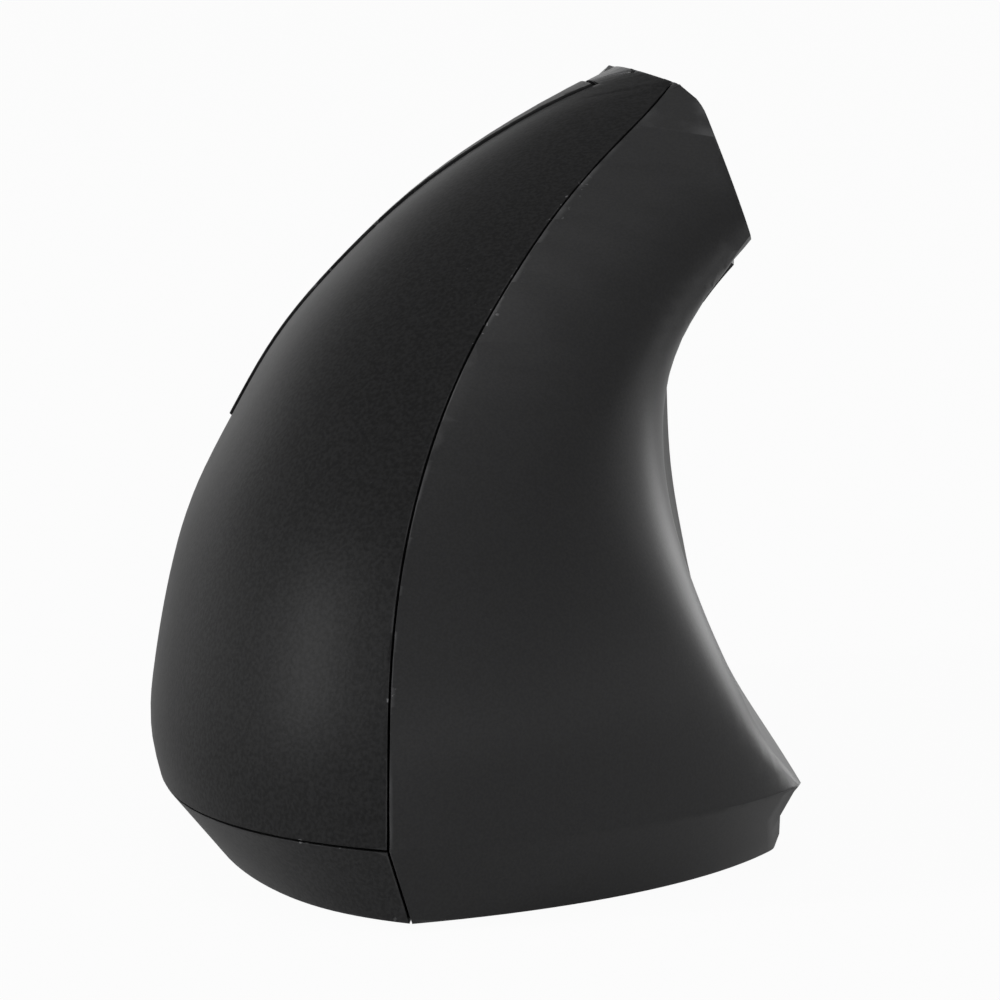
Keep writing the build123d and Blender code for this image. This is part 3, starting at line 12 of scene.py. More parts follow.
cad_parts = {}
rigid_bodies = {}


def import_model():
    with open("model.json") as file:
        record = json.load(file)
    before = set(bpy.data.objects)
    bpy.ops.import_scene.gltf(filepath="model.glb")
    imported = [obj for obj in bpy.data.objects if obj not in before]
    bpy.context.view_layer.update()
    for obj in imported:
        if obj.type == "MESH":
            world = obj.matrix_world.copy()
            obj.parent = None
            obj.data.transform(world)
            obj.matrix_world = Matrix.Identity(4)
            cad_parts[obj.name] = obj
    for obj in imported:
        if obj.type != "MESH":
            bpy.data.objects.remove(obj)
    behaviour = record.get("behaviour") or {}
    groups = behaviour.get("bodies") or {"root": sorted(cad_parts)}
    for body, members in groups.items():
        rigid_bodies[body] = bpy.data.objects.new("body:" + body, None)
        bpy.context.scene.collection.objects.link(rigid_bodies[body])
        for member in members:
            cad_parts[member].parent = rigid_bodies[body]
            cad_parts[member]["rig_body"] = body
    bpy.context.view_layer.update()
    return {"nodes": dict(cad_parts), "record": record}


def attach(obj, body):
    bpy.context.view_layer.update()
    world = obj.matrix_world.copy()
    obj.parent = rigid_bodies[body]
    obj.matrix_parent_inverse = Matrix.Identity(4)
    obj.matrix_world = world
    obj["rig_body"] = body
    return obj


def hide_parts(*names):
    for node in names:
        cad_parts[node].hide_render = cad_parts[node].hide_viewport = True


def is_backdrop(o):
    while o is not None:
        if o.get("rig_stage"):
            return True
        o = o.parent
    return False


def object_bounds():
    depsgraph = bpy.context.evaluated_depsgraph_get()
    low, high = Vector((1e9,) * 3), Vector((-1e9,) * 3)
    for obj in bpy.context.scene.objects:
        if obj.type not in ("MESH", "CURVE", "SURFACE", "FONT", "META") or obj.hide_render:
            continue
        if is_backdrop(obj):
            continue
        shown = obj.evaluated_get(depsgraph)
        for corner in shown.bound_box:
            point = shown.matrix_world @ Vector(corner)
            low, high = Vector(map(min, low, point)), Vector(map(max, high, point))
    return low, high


bl_info = {
    "name": "Upright mouse",
    "version": (1, 0, 0),
    "blender": (4, 5, 0),
    "location": "3D View > Sidebar > Mouse",
    "description": "Dresses the packed mouse with smooth shells, moulded finishes and small parts",
    "category": "Object",
}

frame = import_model()

MM = 0.001

# Housing in millimetres and shares, as the solids have it.
HALF_WIDTH = 33.5
HALF_LENGTH = 60.0
HEIGHT = 76.3
LEDGE = 8.0
UNDERSIDE = 0.7
CROWN_ROUND = 6.0
DECK_FALL = 21.0
PALM_SHARES = [
    (0.000, -0.134, -1.000, -0.943, 0.033, -0.090, 0.967, 0.07, 1.17),
    (0.044, -0.134, -0.997, -0.966, 0.033, -0.090, 0.988, 0.07, 1.00),
    (0.146, -0.134, -0.985, -0.960, 0.033, -0.075, 1.000, 0.07, 1.00),
    (0.264, -0.131, -0.943, -0.918, 0.033, -0.060, 1.000, 0.08, 1.05),
    (0.381, -0.110, -0.883, -0.848, 0.033, -0.030, 0.992, 0.10, 1.10),
    (0.498, -0.063, -0.792, -0.728, 0.033, 0.015, 0.975, 0.13, 1.15),
    (0.615, 0.018, -0.667, -0.585, 0.033, 0.075, 0.942, 0.16, 1.25),
    (0.732, 0.146, -0.503, -0.375, 0.033, 0.149, 0.868, 0.20, 1.40),
    (0.820, 0.272, -0.342, -0.175, 0.067, 0.239, 0.785, 0.25, 1.60),
    (0.893, 0.412, -0.183, 0.042, 0.100, 0.328, 0.675, 0.30, 1.80),
    (0.952, 0.537, -0.050, 0.258, 0.150, 0.418, 0.550, 0.35, 1.75),
    (1.010, 0.633, 0.083, 0.510, 0.233, 0.567, 0.450, 0.40, 1.20),
]
PALM_FOOT_SHARES = (0.000, -0.075, -0.973, -0.851, 0.033, -0.090, 0.925, 0.07, 1.17)
PALM_REAR_SHARES = [(0.33, 0.065), (0.70, 0.23), (0.93, 0.50)]
FOOT_REAR_SHARES = [(0.265, 0.064), (0.56, 0.22), (0.82, 0.49)]
FRONT_ALONG_SHARES = (0.45, 0.82)
FRONT_STEP_SHARE = 0.33
NOSE_WRAP_SHARES = [(0.38, 0.03), (0.70, 0.16), (1.10, 0.50)]
RIDGE_LEAD_SHARES = (0.9, 0.4)
THUMB_SHARES = [
    (1.003, -0.467, 0.036, 0.860, 0.743, 0.648, 0.567, 1.20),
    (0.937, -0.517, 0.066, 0.809, 0.696, 0.609, 0.543, 1.20),
    (0.836, -0.583, 0.134, 0.701, 0.615, 0.558, 0.507, 1.15),
    (0.734, -0.612, 0.194, 0.603, 0.543, 0.516, 0.490, 1.10),
    (0.650, -0.592, 0.254, 0.535, 0.501, 0.499, 0.478, 1.05),
    (0.610, -0.550, 0.269, 0.512, 0.490, 0.501, 0.484, 1.05),
    (0.632, -0.458, 0.209, 0.572, 0.552, 0.555, 0.531, 1.15),
    (0.776, -0.283, 0.075, 0.746, 0.716, 0.696, 0.672, 1.25),
    (0.925, -0.142, 0.045, 0.896, 0.866, 0.836, 0.806, 1.25),
    (1.015, -0.017, 0.045, 0.985, 0.955, 0.925, 0.896, 1.25),
    (1.104, 0.108, 0.045, 1.075, 1.045, 1.015, 0.985, 1.25),
    (1.194, 0.233, 0.045, 1.164, 1.149, 1.134, 1.104, 1.25),
]
THUMB_FOOT_SHARES = (0.925, -0.400, 0.050, 0.788, 0.672, 0.576, 0.496, 1.20)
CHANNEL_STATION_SHARES = (0.30, 0.55, 0.80, 1.00)
CHANNEL_END_SHARE = 1.25
FACE_BOW_SHARE = 0.10
FACE_PLACE_SHARES = (-0.25, 0.0, 0.5)
DECK_CORNER_SHARE = (0.650, 0.966)
WING_EDGE_SHARE = (0.803, 0.734)
CROWN_DRIFT_SHARES = (-0.075, -0.144)
CROWN_REACH = 60.0
CROWN_STEP = 3.0
CROWN_ROW_STEP = 2.0

# Points along the grids that stand for the drawn surfaces.
PALM_COUNT = 200
FACE_COUNT = 50
CORNER_COUNT = 20
CHANNEL_COUNT = 80
LEVEL_COUNT = 130
SKIRT_COUNT = 8
ROUND_COUNT = 24


# Curves of the plan sections


def level_height(rise):
    """Height of a level, from its share of the rise."""
    return LEDGE + rise * (HEIGHT - LEDGE)


def shifted(points, distance):
    """Each point moved to the left of the run by a distance."""
    moved = []
    for index, (x, y) in enumerate(points):
        ax, ay = points[max(index - 1, 0)]
        bx, by = points[min(index + 1, len(points) - 1)]
        run = hypot(bx - ax, by - ay)
        moved.append((x - (by - ay) / run * distance, y + (bx - ax) / run * distance))
    return moved


def palm_points(level, rear_shares, inset):
    """Plan points of the palm side at one level."""
    ridge_x, wide_x, nose_x = [level[i] * HALF_WIDTH for i in (1, 3, 5)]
    ridge_y, wide_y, nose_y = [level[i] * HALF_LENGTH for i in (2, 4, 6)]
    across, along = wide_x - ridge_x, wide_y - ridge_y
    rear = [(ridge_x + u * across, ridge_y + v * along) for u, v in rear_shares]
    lead_x, lead_y = RIDGE_LEAD_SHARES
    lead = (ridge_x - lead_x * (rear[0][0] - ridge_x), ridge_y - lead_y * (rear[0][1] - ridge_y))
    front = []
    for index, v in enumerate(FRONT_ALONG_SHARES):
        u = level[7] + index * FRONT_STEP_SHARE
        front.append((wide_x + u * (nose_x - wide_x), wide_y + v * (nose_y - wide_y)))
    wrap = [(nose_x + u * HALF_WIDTH, nose_y - v * HALF_LENGTH) for u, v in NOSE_WRAP_SHARES]
    run = [lead, (ridge_x, ridge_y)] + rear + [(wide_x, wide_y)] + front + [(nose_x, nose_y)] + wrap
    return shifted(run, -inset * level[8])


def thumb_points(palm_level, level, inset):
    """Plan points of the thumb face, its corner and the thumb channel at one level."""
    ridge_x, ridge_y = palm_level[1] * HALF_WIDTH, palm_level[2] * HALF_LENGTH
    corner_x, corner_y = level[0] * HALF_WIDTH, level[1] * HALF_LENGTH
    soft = level[2] * HALF_WIDTH
    chord = hypot(corner_x - ridge_x, corner_y - ridge_y)
    tx, ty = (corner_x - ridge_x) / chord, (corner_y - ridge_y) / chord
    face = []
    for place in FACE_PLACE_SHARES + (1 - soft / chord,):
        bow = 4 * FACE_BOW_SHARE * chord * place * (1 - place)
        face.append((ridge_x + tx * chord * place + ty * bow, ridge_y + ty * chord * place - tx * bow))
    end_y = CHANNEL_END_SHARE * HALF_LENGTH
    channel = []
    for station, x in zip(CHANNEL_STATION_SHARES, level[3:7]):
        channel.append((x * HALF_WIDTH, corner_y + station * (end_y - corner_y)))
    run = hypot(channel[0][0] - corner_x, channel[0][1] - corner_y)
    step = soft / run
    start = (corner_x + step * (channel[0][0] - corner_x), corner_y + step * (channel[0][1] - corner_y))
    points = shifted(face + [(corner_x, corner_y), start] + channel, inset * level[7])
    count = len(face)
    return points[:count], points[count], points[count + 1 :]


def end_slope(knots, values, picks, at):
    """Slope at one knot of the polynomial through a few of them."""
    slope = values[0] * 0
    for j in picks:
        weight = 0.0
        for k in picks:
            if k == j:
                continue
            term = 1.0 / (knots[j] - knots[k])
            for other in picks:
                if other not in (j, k):
                    term *= (knots[at] - knots[other]) / (knots[j] - knots[other])
            weight += term
        slope = slope + weight * values[j]
    return slope


def spline(knots, values, places, natural):
    """Cubic spline through values, with free ends or with slopes taken from the end points."""
    t, y = np.asarray(knots, float), np.asarray(values, float)
    n, h = len(t), np.diff(t)
    left, right = np.zeros((n, n)), np.zeros_like(y)
    for i in range(1, n - 1):
        left[i, i - 1 : i + 2] = h[i - 1], 2 * (h[i - 1] + h[i]), h[i]
        right[i] = 6 * ((y[i + 1] - y[i]) / h[i] - (y[i] - y[i - 1]) / h[i - 1])
    if natural:
        left[0, 0] = left[-1, -1] = 1
    else:
        m = min(n, 4)
        left[0, :2] = 2 * h[0], h[0]
        right[0] = 6 * ((y[1] - y[0]) / h[0] - end_slope(t, y, list(range(m)), 0))
        left[-1, -2:] = h[-1], 2 * h[-1]
        right[-1] = 6 * (end_slope(t, y, list(range(n - m, n)), n - 1) - (y[-1] - y[-2]) / h[-1])
    bend = np.linalg.solve(left, right.reshape(n, -1)).reshape(y.shape)
    places = np.asarray(places, float)
    i = np.clip(np.searchsorted(t, places) - 1, 0, n - 2)
    shape = (-1,) + (1,) * (y.ndim - 1)
    s, r, w = [v.reshape(shape) for v in (places - t[i], t[i + 1] - places, h[i])]
    curve = (bend[i] * r**3 + bend[i + 1] * s**3) / (6 * w)
    return curve + (y[i] / w - bend[i] * w / 6) * r + (y[i + 1] / w - bend[i + 1] * w / 6) * s


def plan_curve(points, count):
    """Smooth run through plan points, at even steps."""
    points = np.array(points, float)
    run = np.concatenate([[0], np.cumsum(np.hypot(*np.diff(points, axis=0).T))])
    return spline(run / run[-1], points, np.linspace(0, 1, count), False)


def plan_corner(points, count):
    """Soft corner between two plan points."""
    a, b, c = [np.array(p, float) for p in points]
    t = np.linspace(0, 1, count)[:, None]
    return a * (1 - t) ** 2 + 2 * b * t * (1 - t) + c * t**2


def stacked(sections, heights, rows):
    """Grid of points from plan sections, smooth or straight between them."""
    at = np.linspace(heights[0], heights[-1], rows)
    if len(sections) == 2:
        share = ((at - heights[0]) / (heights[1] - heights[0])).reshape(-1, 1, 1)
        grid = sections[0] * (1 - share) + sections[1] * share
    else:
        grid = spline(heights, np.array(sections), at, True)
    rise = np.broadcast_to(at[:, None, None], grid.shape[:2] + (1,))
    return np.concatenate([grid, rise], axis=2)


def skin_tree(grids):
    """Search tree over dense grids, in metres."""
    points, faces = [], []
    for grid in grids:
        base, (rows, count) = len(points), grid.shape[:2]
        points += [tuple(p) for p in (grid.reshape(-1, 3) * MM)]
        for i in range(rows - 1):
            for j in range(count - 1):
                a = base + i * count + j
                faces.append((a, a + 1, a + count + 1, a + count))
    return BVHTree.FromPolygons(points, faces)


def palm_skin(inset=0.0):
    """Palm side, nose and main buttons, moved in by the inset."""
    heights = [level_height(level[0]) for level in PALM_SHARES]
    rows = [plan_curve(palm_points(level, PALM_REAR_SHARES, inset), PALM_COUNT) for level in PALM_SHARES]
    return skin_tree([stacked(rows, heights, LEVEL_COUNT)])


def thumb_sections(runs):
    """Plan sections of the thumb face, its soft corner and the thumb channel."""
    face = [plan_curve(run[0], FACE_COUNT) for run in runs]
    corner = [plan_corner((run[0][-1], run[1], run[2][0]), CORNER_COUNT) for run in runs]
    channel = [plan_curve(run[2], CHANNEL_COUNT) for run in runs]
    return [face, corner, channel]


def thumb_skin(inset=0.0):
    """Thumb face, its soft corner and the thumb channel, moved in by the inset."""
    heights = [level_height(level[0]) for level in PALM_SHARES]
    runs = [thumb_points(a, b, inset) for a, b in zip(PALM_SHARES, THUMB_SHARES)]
    return skin_tree([stacked(rows, heights, LEVEL_COUNT) for rows in thumb_sections(runs)])


def crown_skin():
    """Deck, round and upper wing side, drawn along the drift."""
    deck_x, deck_z = DECK_CORNER_SHARE[0] * HALF_WIDTH, DECK_CORNER_SHARE[1] * HEIGHT
    wing_x, wing_z = WING_EDGE_SHARE[0] * HALF_WIDTH, level_height(WING_EDGE_SHARE[1])
    fall = Vector((-cos(radians(DECK_FALL)), sin(radians(DECK_FALL))))
    lean = Vector((wing_x - deck_x, wing_z - deck_z)).normalized()
    corner = Vector((deck_x, deck_z))
    half = fall.angle(lean) / 2
    run = CROWN_ROUND / tan(half)
    middle = corner + (fall + lean).normalized() * (CROWN_ROUND / sin(half))
    start, stop = corner + fall * run, corner + lean * run
    count = int(CROWN_REACH / CROWN_STEP)
    profile = [corner + fall * (run + CROWN_REACH - CROWN_STEP * k) for k in range(count)]
    first, sweep = (start - middle), (start - middle).angle_signed(stop - middle)
    for k in range(ROUND_COUNT + 1):
        turned = first.copy()
        turned.rotate(Matrix.Rotation(-sweep * k / ROUND_COUNT, 2))
        profile.append(middle + turned)
    profile += [corner + lean * (run + CROWN_STEP * k) for k in range(1, count)]
    drift = Vector((CROWN_DRIFT_SHARES[0], 1, CROWN_DRIFT_SHARES[1]))
    rows = []
    for k in range(int(2 * CROWN_REACH / CROWN_ROW_STEP) + 1):
        y = CROWN_ROW_STEP * k - CROWN_REACH
        rows.append([(p.x + drift.x * y, y, p.y + drift.z * y) for p in profile])
    return skin_tree([np.array(rows)])


def skirt_skin():
    """Skirt from the underside up to the ledge."""
    heights = [UNDERSIDE, LEDGE]
    palm = [
        plan_curve(palm_points(PALM_FOOT_SHARES, FOOT_REAR_SHARES, 0), PALM_COUNT),
        plan_curve(palm_points(PALM_SHARES[0], PALM_REAR_SHARES, 0), PALM_COUNT),
    ]
    runs = [
        thumb_points(PALM_FOOT_SHARES, THUMB_FOOT_SHARES, 0),
        thumb_points(PALM_SHARES[0], THUMB_SHARES[0], 0),
    ]
    return skin_tree([stacked(rows, heights, SKIRT_COUNT) for rows in [palm] + thumb_sections(runs)])


# Sizes and colours that can be changed in the sidebar

GRAIN = 2600.0


class MouseSizes(bpy.types.PropertyGroup):
    """Sizes of the dressed shells and of their finish."""

    cell: bpy.props.FloatProperty(
        name="Cell", description="Spacing of the mesh lines on the shells",
        default=0.0025, unit="LENGTH", subtype="DISTANCE",
    )
    turn: bpy.props.FloatProperty(
        name="Turn", description="Angle between the mesh lines round the palm side",
        default=radians(2.6), unit="ROTATION", subtype="ANGLE",
    )
    rim: bpy.props.FloatProperty(
        name="Rim", description="Round on the edges along the seams",
        default=0.00009, unit="LENGTH", subtype="DISTANCE",
    )
    small_rim: bpy.props.FloatProperty(
        name="Small rim", description="Round on the edges of caps, screws and the wheel",
        default=0.00014, unit="LENGTH", subtype="DISTANCE",
    )
    grain: bpy.props.FloatProperty(
        name="Grain", description="Grains of the moulded surface in one metre",
        default=GRAIN,
    )
    camera_reach: bpy.props.FloatProperty(
        name="Camera reach", description="Distance from the camera to the middle of the mouse",
        default=0.6, unit="LENGTH", subtype="DISTANCE",
    )
    camera_lens: bpy.props.FloatProperty(
        name="Lens", description="Focal length in millimetres", default=210.0,
    )


class MouseColours(bpy.types.PropertyGroup):
    """Colours of the finishes."""

    palm: bpy.props.FloatVectorProperty(
        name="Palm side", description="Palm side, nose and main buttons",
        default=(0.0195, 0.0195, 0.02), size=3, subtype="COLOR",
    )
    thumb: bpy.props.FloatVectorProperty(
        name="Thumb side", description="Thumb side and its skirt",
        default=(0.05, 0.05, 0.0512), size=3, subtype="COLOR",
    )
    base: bpy.props.FloatVectorProperty(
        name="Base", description="Palm side skirt, underside and door",
        default=(0.02, 0.02, 0.0206), size=3, subtype="COLOR",
    )
    trim: bpy.props.FloatVectorProperty(
        name="Trim", description="Trim along the top",
        default=(0.03, 0.03, 0.032), size=3, subtype="COLOR",
    )
    caps: bpy.props.FloatVectorProperty(
        name="Caps", description="Side buttons and other small caps",
        default=(0.02, 0.02, 0.021), size=3, subtype="COLOR",
    )
    rubber: bpy.props.FloatVectorProperty(
        name="Rubber", description="Tyre of the wheel",
        default=(0.012, 0.012, 0.0125), size=3, subtype="COLOR",
    )
    inside: bpy.props.FloatVectorProperty(
        name="Inside", description="Frame, carrier and other hidden mouldings",
        default=(0.03, 0.03, 0.033), size=3, subtype="COLOR",
    )
    laminate: bpy.props.FloatVectorProperty(
        name="Laminate", description="Circuit boards",
        default=(0.012, 0.085, 0.04), size=3, subtype="COLOR",
    )
    floor: bpy.props.FloatVectorProperty(
        name="Floor", description="Studio floor",
        default=(0.82, 0.82, 0.82), size=3, subtype="COLOR",
    )


# Finishes

# Noise scales in waves to the metre.
COARSE_SHARE = 0.31
DRIFT_SCALE = 42.0
SPECK_SCALE = 1700.0
PATCH_SCALE = 95.0
SCUFF_AND_HIGHLIGHT_SCALE = 160.0
DUST_SCALE = 3200.0
RIPPLE_SCALE = 300.0
WEAVE_SCALE = 1400.0
RUN_SCALE = 260.0

# Spans over which a mask rises from none to full.
TONE_SPAN = (0.3, 0.7)
DRIFT_SPAN = (0.25, 0.75)
NEAR_RIM_SPAN = (0.78, 1.0)
ON_RIM_SPAN = (0.9, 1.0)
SPECK_SPAN = (0.62, 0.7)
PATCH_SPAN = (0.48, 0.66)
SCUFF_AND_HIGHLIGHT_SPAN = (0.35, 0.65)
DUST_SPAN = (0.76, 0.82)
FACING_UP_SPAN = (-0.1, 0.9)

FINE_WEIGHT = 0.7
COARSE_WEIGHT = 0.3
GRAIN_LIFT = 0.6
STREAK_LIFT = 0.2
STREAK_DEPTH = 0.00001
RIPPLE_LIFT = 0.1
RIPPLE_DEPTH = 0.00001
WEAVE_LIFT = 0.2
WEAVE_DEPTH = 0.00002
RUN_GAP = 0.06
CLEAR_IOR = 1.49
# Rims made this much lighter: partly scuffing, partly a painted highlight against the shade along the
# seams.
SCUFF_AND_HIGHLIGHT_LIGHTER = 3.4
RUN_LIGHTER = 1.7
SPECK_COLOUR = (0.42, 0.42, 0.43)
DUST_COLOUR = (0.3, 0.3, 0.3)
SWITCH_COLOUR = (0.016, 0.016, 0.018)
SLEEVE_COLOUR = (0.035, 0.04, 0.055)
FOOT_COLOUR = (0.01, 0.01, 0.01)
STEEL_COLOUR = (0.5, 0.5, 0.52)
PLATING_COLOUR = (0.62, 0.61, 0.58)
CLEAR_COLOUR = (0.85, 0.88, 0.9)


def group(name, inputs, outputs):
    """Empty shader group with its sockets."""
    tree = bpy.data.node_groups.new(name, "ShaderNodeTree")
    for label, value in inputs:
        socket = tree.interface.new_socket(label, in_out="INPUT", socket_type="NodeSocketFloat")
        socket.default_value = value
    for label, kind in outputs:
        tree.interface.new_socket(label, in_out="OUTPUT", socket_type=kind)
    return tree, tree.nodes.new("NodeGroupInput"), tree.nodes.new("NodeGroupOutput")


def maths(tree, operation, first, second, clamp=False):
    """Math node on values or sockets."""
    node = tree.nodes.new("ShaderNodeMath")
    node.operation = operation
    node.use_clamp = clamp
    for socket, value in zip(node.inputs, (first, second)):
        if isinstance(value, bpy.types.NodeSocket):
            tree.links.new(value, socket)
        else:
            socket.default_value = value
    return node.outputs[0]


def noise(tree, scale, detail, offset=0.0):
    """Noise in metres of the object, moved along by an offset."""
    place = tree.nodes.new("ShaderNodeTexCoord")
    shift = tree.nodes.new("ShaderNodeMapping")
    shift.inputs["Location"].default_value = (offset, offset, offset)
    tree.links.new(place.outputs["Object"], shift.inputs["Vector"])
    made = tree.nodes.new("ShaderNodeTexNoise")
    made.inputs["Detail"].default_value = detail
    tree.links.new(shift.outputs["Vector"], made.inputs["Vector"])
    if isinstance(scale, bpy.types.NodeSocket):
        tree.links.new(scale, made.inputs["Scale"])
    else:
        made.inputs["Scale"].default_value = scale
    return made.outputs["Fac"]


def ramp(tree, value, low, high):
    """Smooth mask that rises from low to high."""
    node = tree.nodes.new("ShaderNodeMapRange")
    node.interpolation_type = "SMOOTHSTEP"
    node.inputs["From Min"].default_value = low
    node.inputs["From Max"].default_value = high
    tree.links.new(value, node.inputs["Value"])
    return node.outputs["Result"]


def moulded_group():
    """Fine spark grain with a slow drift in gloss and tone."""
    tree, given, made = group(
        "Moulded grain",
        [("Scale", GRAIN)],
        [("Height", "NodeSocketFloat"), ("Tone", "NodeSocketFloat"), ("Gloss", "NodeSocketFloat")],
    )
    fine = noise(tree, given.outputs["Scale"], 2.0)
    coarse = noise(tree, maths(tree, "MULTIPLY", given.outputs["Scale"], COARSE_SHARE), 3.0, 0.4)
    fine_part = maths(tree, "MULTIPLY", fine, FINE_WEIGHT)
    coarse_part = maths(tree, "MULTIPLY", coarse, COARSE_WEIGHT)
    tree.links.new(maths(tree, "ADD", fine_part, coarse_part), made.inputs["Height"])
    tree.links.new(ramp(tree, fine, *TONE_SPAN), made.inputs["Tone"])
    slow = noise(tree, DRIFT_SCALE, 3.0, 0.9)
    tree.links.new(ramp(tree, slow, *DRIFT_SPAN), made.inputs["Gloss"])
    return tree


def wear_group():
    """Pale specks and scuffed, lighter places along the rims, from the piece's own rim attribute; the
    lighter places are partly real scuffing and partly a painted highlight against the shade along the
    seams.
    """
    tree, given, made = group(
        "Rim wear", [("Amount", 0.5)], [("Speck", "NodeSocketFloat"), ("Scuff and highlight", "NodeSocketFloat")]
    )
    rim = tree.nodes.new("ShaderNodeAttribute")
    rim.attribute_name = "rim"
    near = ramp(tree, rim.outputs["Fac"], *NEAR_RIM_SPAN)
    spots = ramp(tree, noise(tree, SPECK_SCALE, 3.0, 0.2), *SPECK_SPAN)
    patches = ramp(tree, noise(tree, PATCH_SCALE, 2.0, 0.7), *PATCH_SPAN)
    speck = maths(tree, "MULTIPLY", maths(tree, "MULTIPLY", spots, patches), near)
    tree.links.new(maths(tree, "MULTIPLY", speck, given.outputs["Amount"], True), made.inputs["Speck"])
    # Patchy lighter rims: partly scuffing, partly a painted highlight against the shade along the seams.
    edge = ramp(tree, rim.outputs["Fac"], *ON_RIM_SPAN)
    scuff_and_highlight_mask = maths(tree, "MULTIPLY", edge, ramp(tree, noise(tree, SCUFF_AND_HIGHLIGHT_SCALE, 3.0), *SCUFF_AND_HIGHLIGHT_SPAN))
    tree.links.new(maths(tree, "MULTIPLY", scuff_and_highlight_mask, given.outputs["Amount"], True), made.inputs["Scuff and highlight"])
    return tree


def dust_group():
    """Sparse specks of dust on faces that look up."""
    tree, given, made = group("Settled dust", [("Amount", 0.3)], [("Dust", "NodeSocketFloat")])
    facing = tree.nodes.new("ShaderNodeNewGeometry")
    split = tree.nodes.new("ShaderNodeSeparateXYZ")
    tree.links.new(facing.outputs["Normal"], split.inputs[0])
    up = ramp(tree, split.outputs["Z"], *FACING_UP_SPAN)
    specks = ramp(tree, noise(tree, DUST_SCALE, 1.0, 0.1), *DUST_SPAN)
    dust = maths(tree, "MULTIPLY", maths(tree, "MULTIPLY", specks, up), given.outputs["Amount"], True)
    tree.links.new(dust, made.inputs["Dust"])
    return tree


def placed(tree, effect, **values):
    """Shared effect placed in a material with its own values."""
    node = tree.nodes.new("ShaderNodeGroup")
    node.node_tree = effect
    for label, value in values.items():
        node.inputs[label].default_value = value
    return node


def mixed(tree, factor, first, second):
    """Colour between two colours or sockets."""
    node = tree.nodes.new("ShaderNodeMix")
    node.data_type = "RGBA"
    tree.links.new(factor, node.inputs["Factor"])
    for socket, value in ((node.inputs[6], first), (node.inputs[7], second)):
        if isinstance(value, bpy.types.NodeSocket):
            tree.links.new(value, socket)
        else:
            socket.default_value = tuple(value) + (1.0,)
    return node.outputs[2]


def blank(name):
    """New material with a Principled shader wired to its output."""
    material = bpy.data.materials.new(name)
    material.use_nodes = True
    tree = material.node_tree
    tree.nodes.clear()
    shader = tree.nodes.new("ShaderNodeBsdfPrincipled")
    out = tree.nodes.new("ShaderNodeOutputMaterial")
    tree.links.new(shader.outputs[0], out.inputs["Surface"])
    return material, tree, shader


def bumped(tree, shader, height, strength, distance):
    """Bump from a height on the shader's normal."""
    bump = tree.nodes.new("ShaderNodeBump")
    bump.inputs["Strength"].default_value = strength
    bump.inputs["Distance"].default_value = distance
    tree.links.new(height, bump.inputs["Height"])
    tree.links.new(bump.outputs[0], shader.inputs["Normal"])


def spread(tree, factor, low, high):
    """Mask stretched to a span of values."""
    node = tree.nodes.new("ShaderNodeMapRange")
    node.inputs["To Min"].default_value = low
    node.inputs["To Max"].default_value = high
    tree.links.new(factor, node.inputs["Value"])
    return node.outputs["Result"]


def lighter(colour, factor):
    """Colour times a factor, at most white."""
    return [min(c * factor, 1.0) for c in colour]


def moulded(name, colour, gloss, grain, depth, contrast, wear, dust, level):
    """Moulded plastic or rubber: colour, roughness span, grain, scuffs and a painted highlight on the
    rims.
    """
    material, tree, shader = blank(name)
    skin = placed(tree, shared["moulded"], Scale=grain)
    scuffs_and_highlight = placed(tree, shared["wear"], Amount=wear)
    settled = placed(tree, shared["dust"], Amount=dust)
    tone = mixed(tree, skin.outputs["Tone"], lighter(colour, 1 - contrast), lighter(colour, 1 + contrast))
    # Lighter rims: partly scuffing, partly a painted highlight against the shade along the seams.
    scuffed_and_highlit = mixed(tree, scuffs_and_highlight.outputs["Scuff and highlight"], tone, lighter(colour, SCUFF_AND_HIGHLIGHT_LIGHTER))
    specked = mixed(tree, scuffs_and_highlight.outputs["Speck"], scuffed_and_highlit, SPECK_COLOUR)
    dusted = mixed(tree, settled.outputs["Dust"], specked, DUST_COLOUR)
    tree.links.new(dusted, shader.inputs["Base Color"])
    tree.links.new(spread(tree, skin.outputs["Gloss"], *gloss), shader.inputs["Roughness"])
    shader.inputs["Specular IOR Level"].default_value = level
    bumped(tree, shader, skin.outputs["Height"], GRAIN_LIFT, depth)
    return material


def metal(name, colour, gloss, streak):
    """Plated or drawn metal with fine streaks."""
    material, tree, shader = blank(name)
    skin = placed(tree, shared["moulded"], Scale=streak)
    tone = mixed(tree, skin.outputs["Tone"], lighter(colour, 0.85), lighter(colour, 1.1))
    tree.links.new(tone, shader.inputs["Base Color"])
    tree.links.new(spread(tree, skin.outputs["Gloss"], *gloss), shader.inputs["Roughness"])
    shader.inputs["Metallic"].default_value = 1.0
    bumped(tree, shader, skin.outputs["Height"], STREAK_LIFT, STREAK_DEPTH)
    return material


def clear(name, colour):
    """Clear moulded plastic with a faint ripple."""
    material, tree, shader = blank(name)
    skin = placed(tree, shared["moulded"], Scale=RIPPLE_SCALE)
    tone = mixed(tree, skin.outputs["Tone"], lighter(colour, 0.96), colour)
    tree.links.new(tone, shader.inputs["Base Color"])
    tree.links.new(spread(tree, skin.outputs["Gloss"], 0.06, 0.14), shader.inputs["Roughness"])
    shader.inputs["Transmission Weight"].default_value = 1.0
    shader.inputs["IOR"].default_value = CLEAR_IOR
    bumped(tree, shader, skin.outputs["Height"], RIPPLE_LIFT, RIPPLE_DEPTH)
    return material


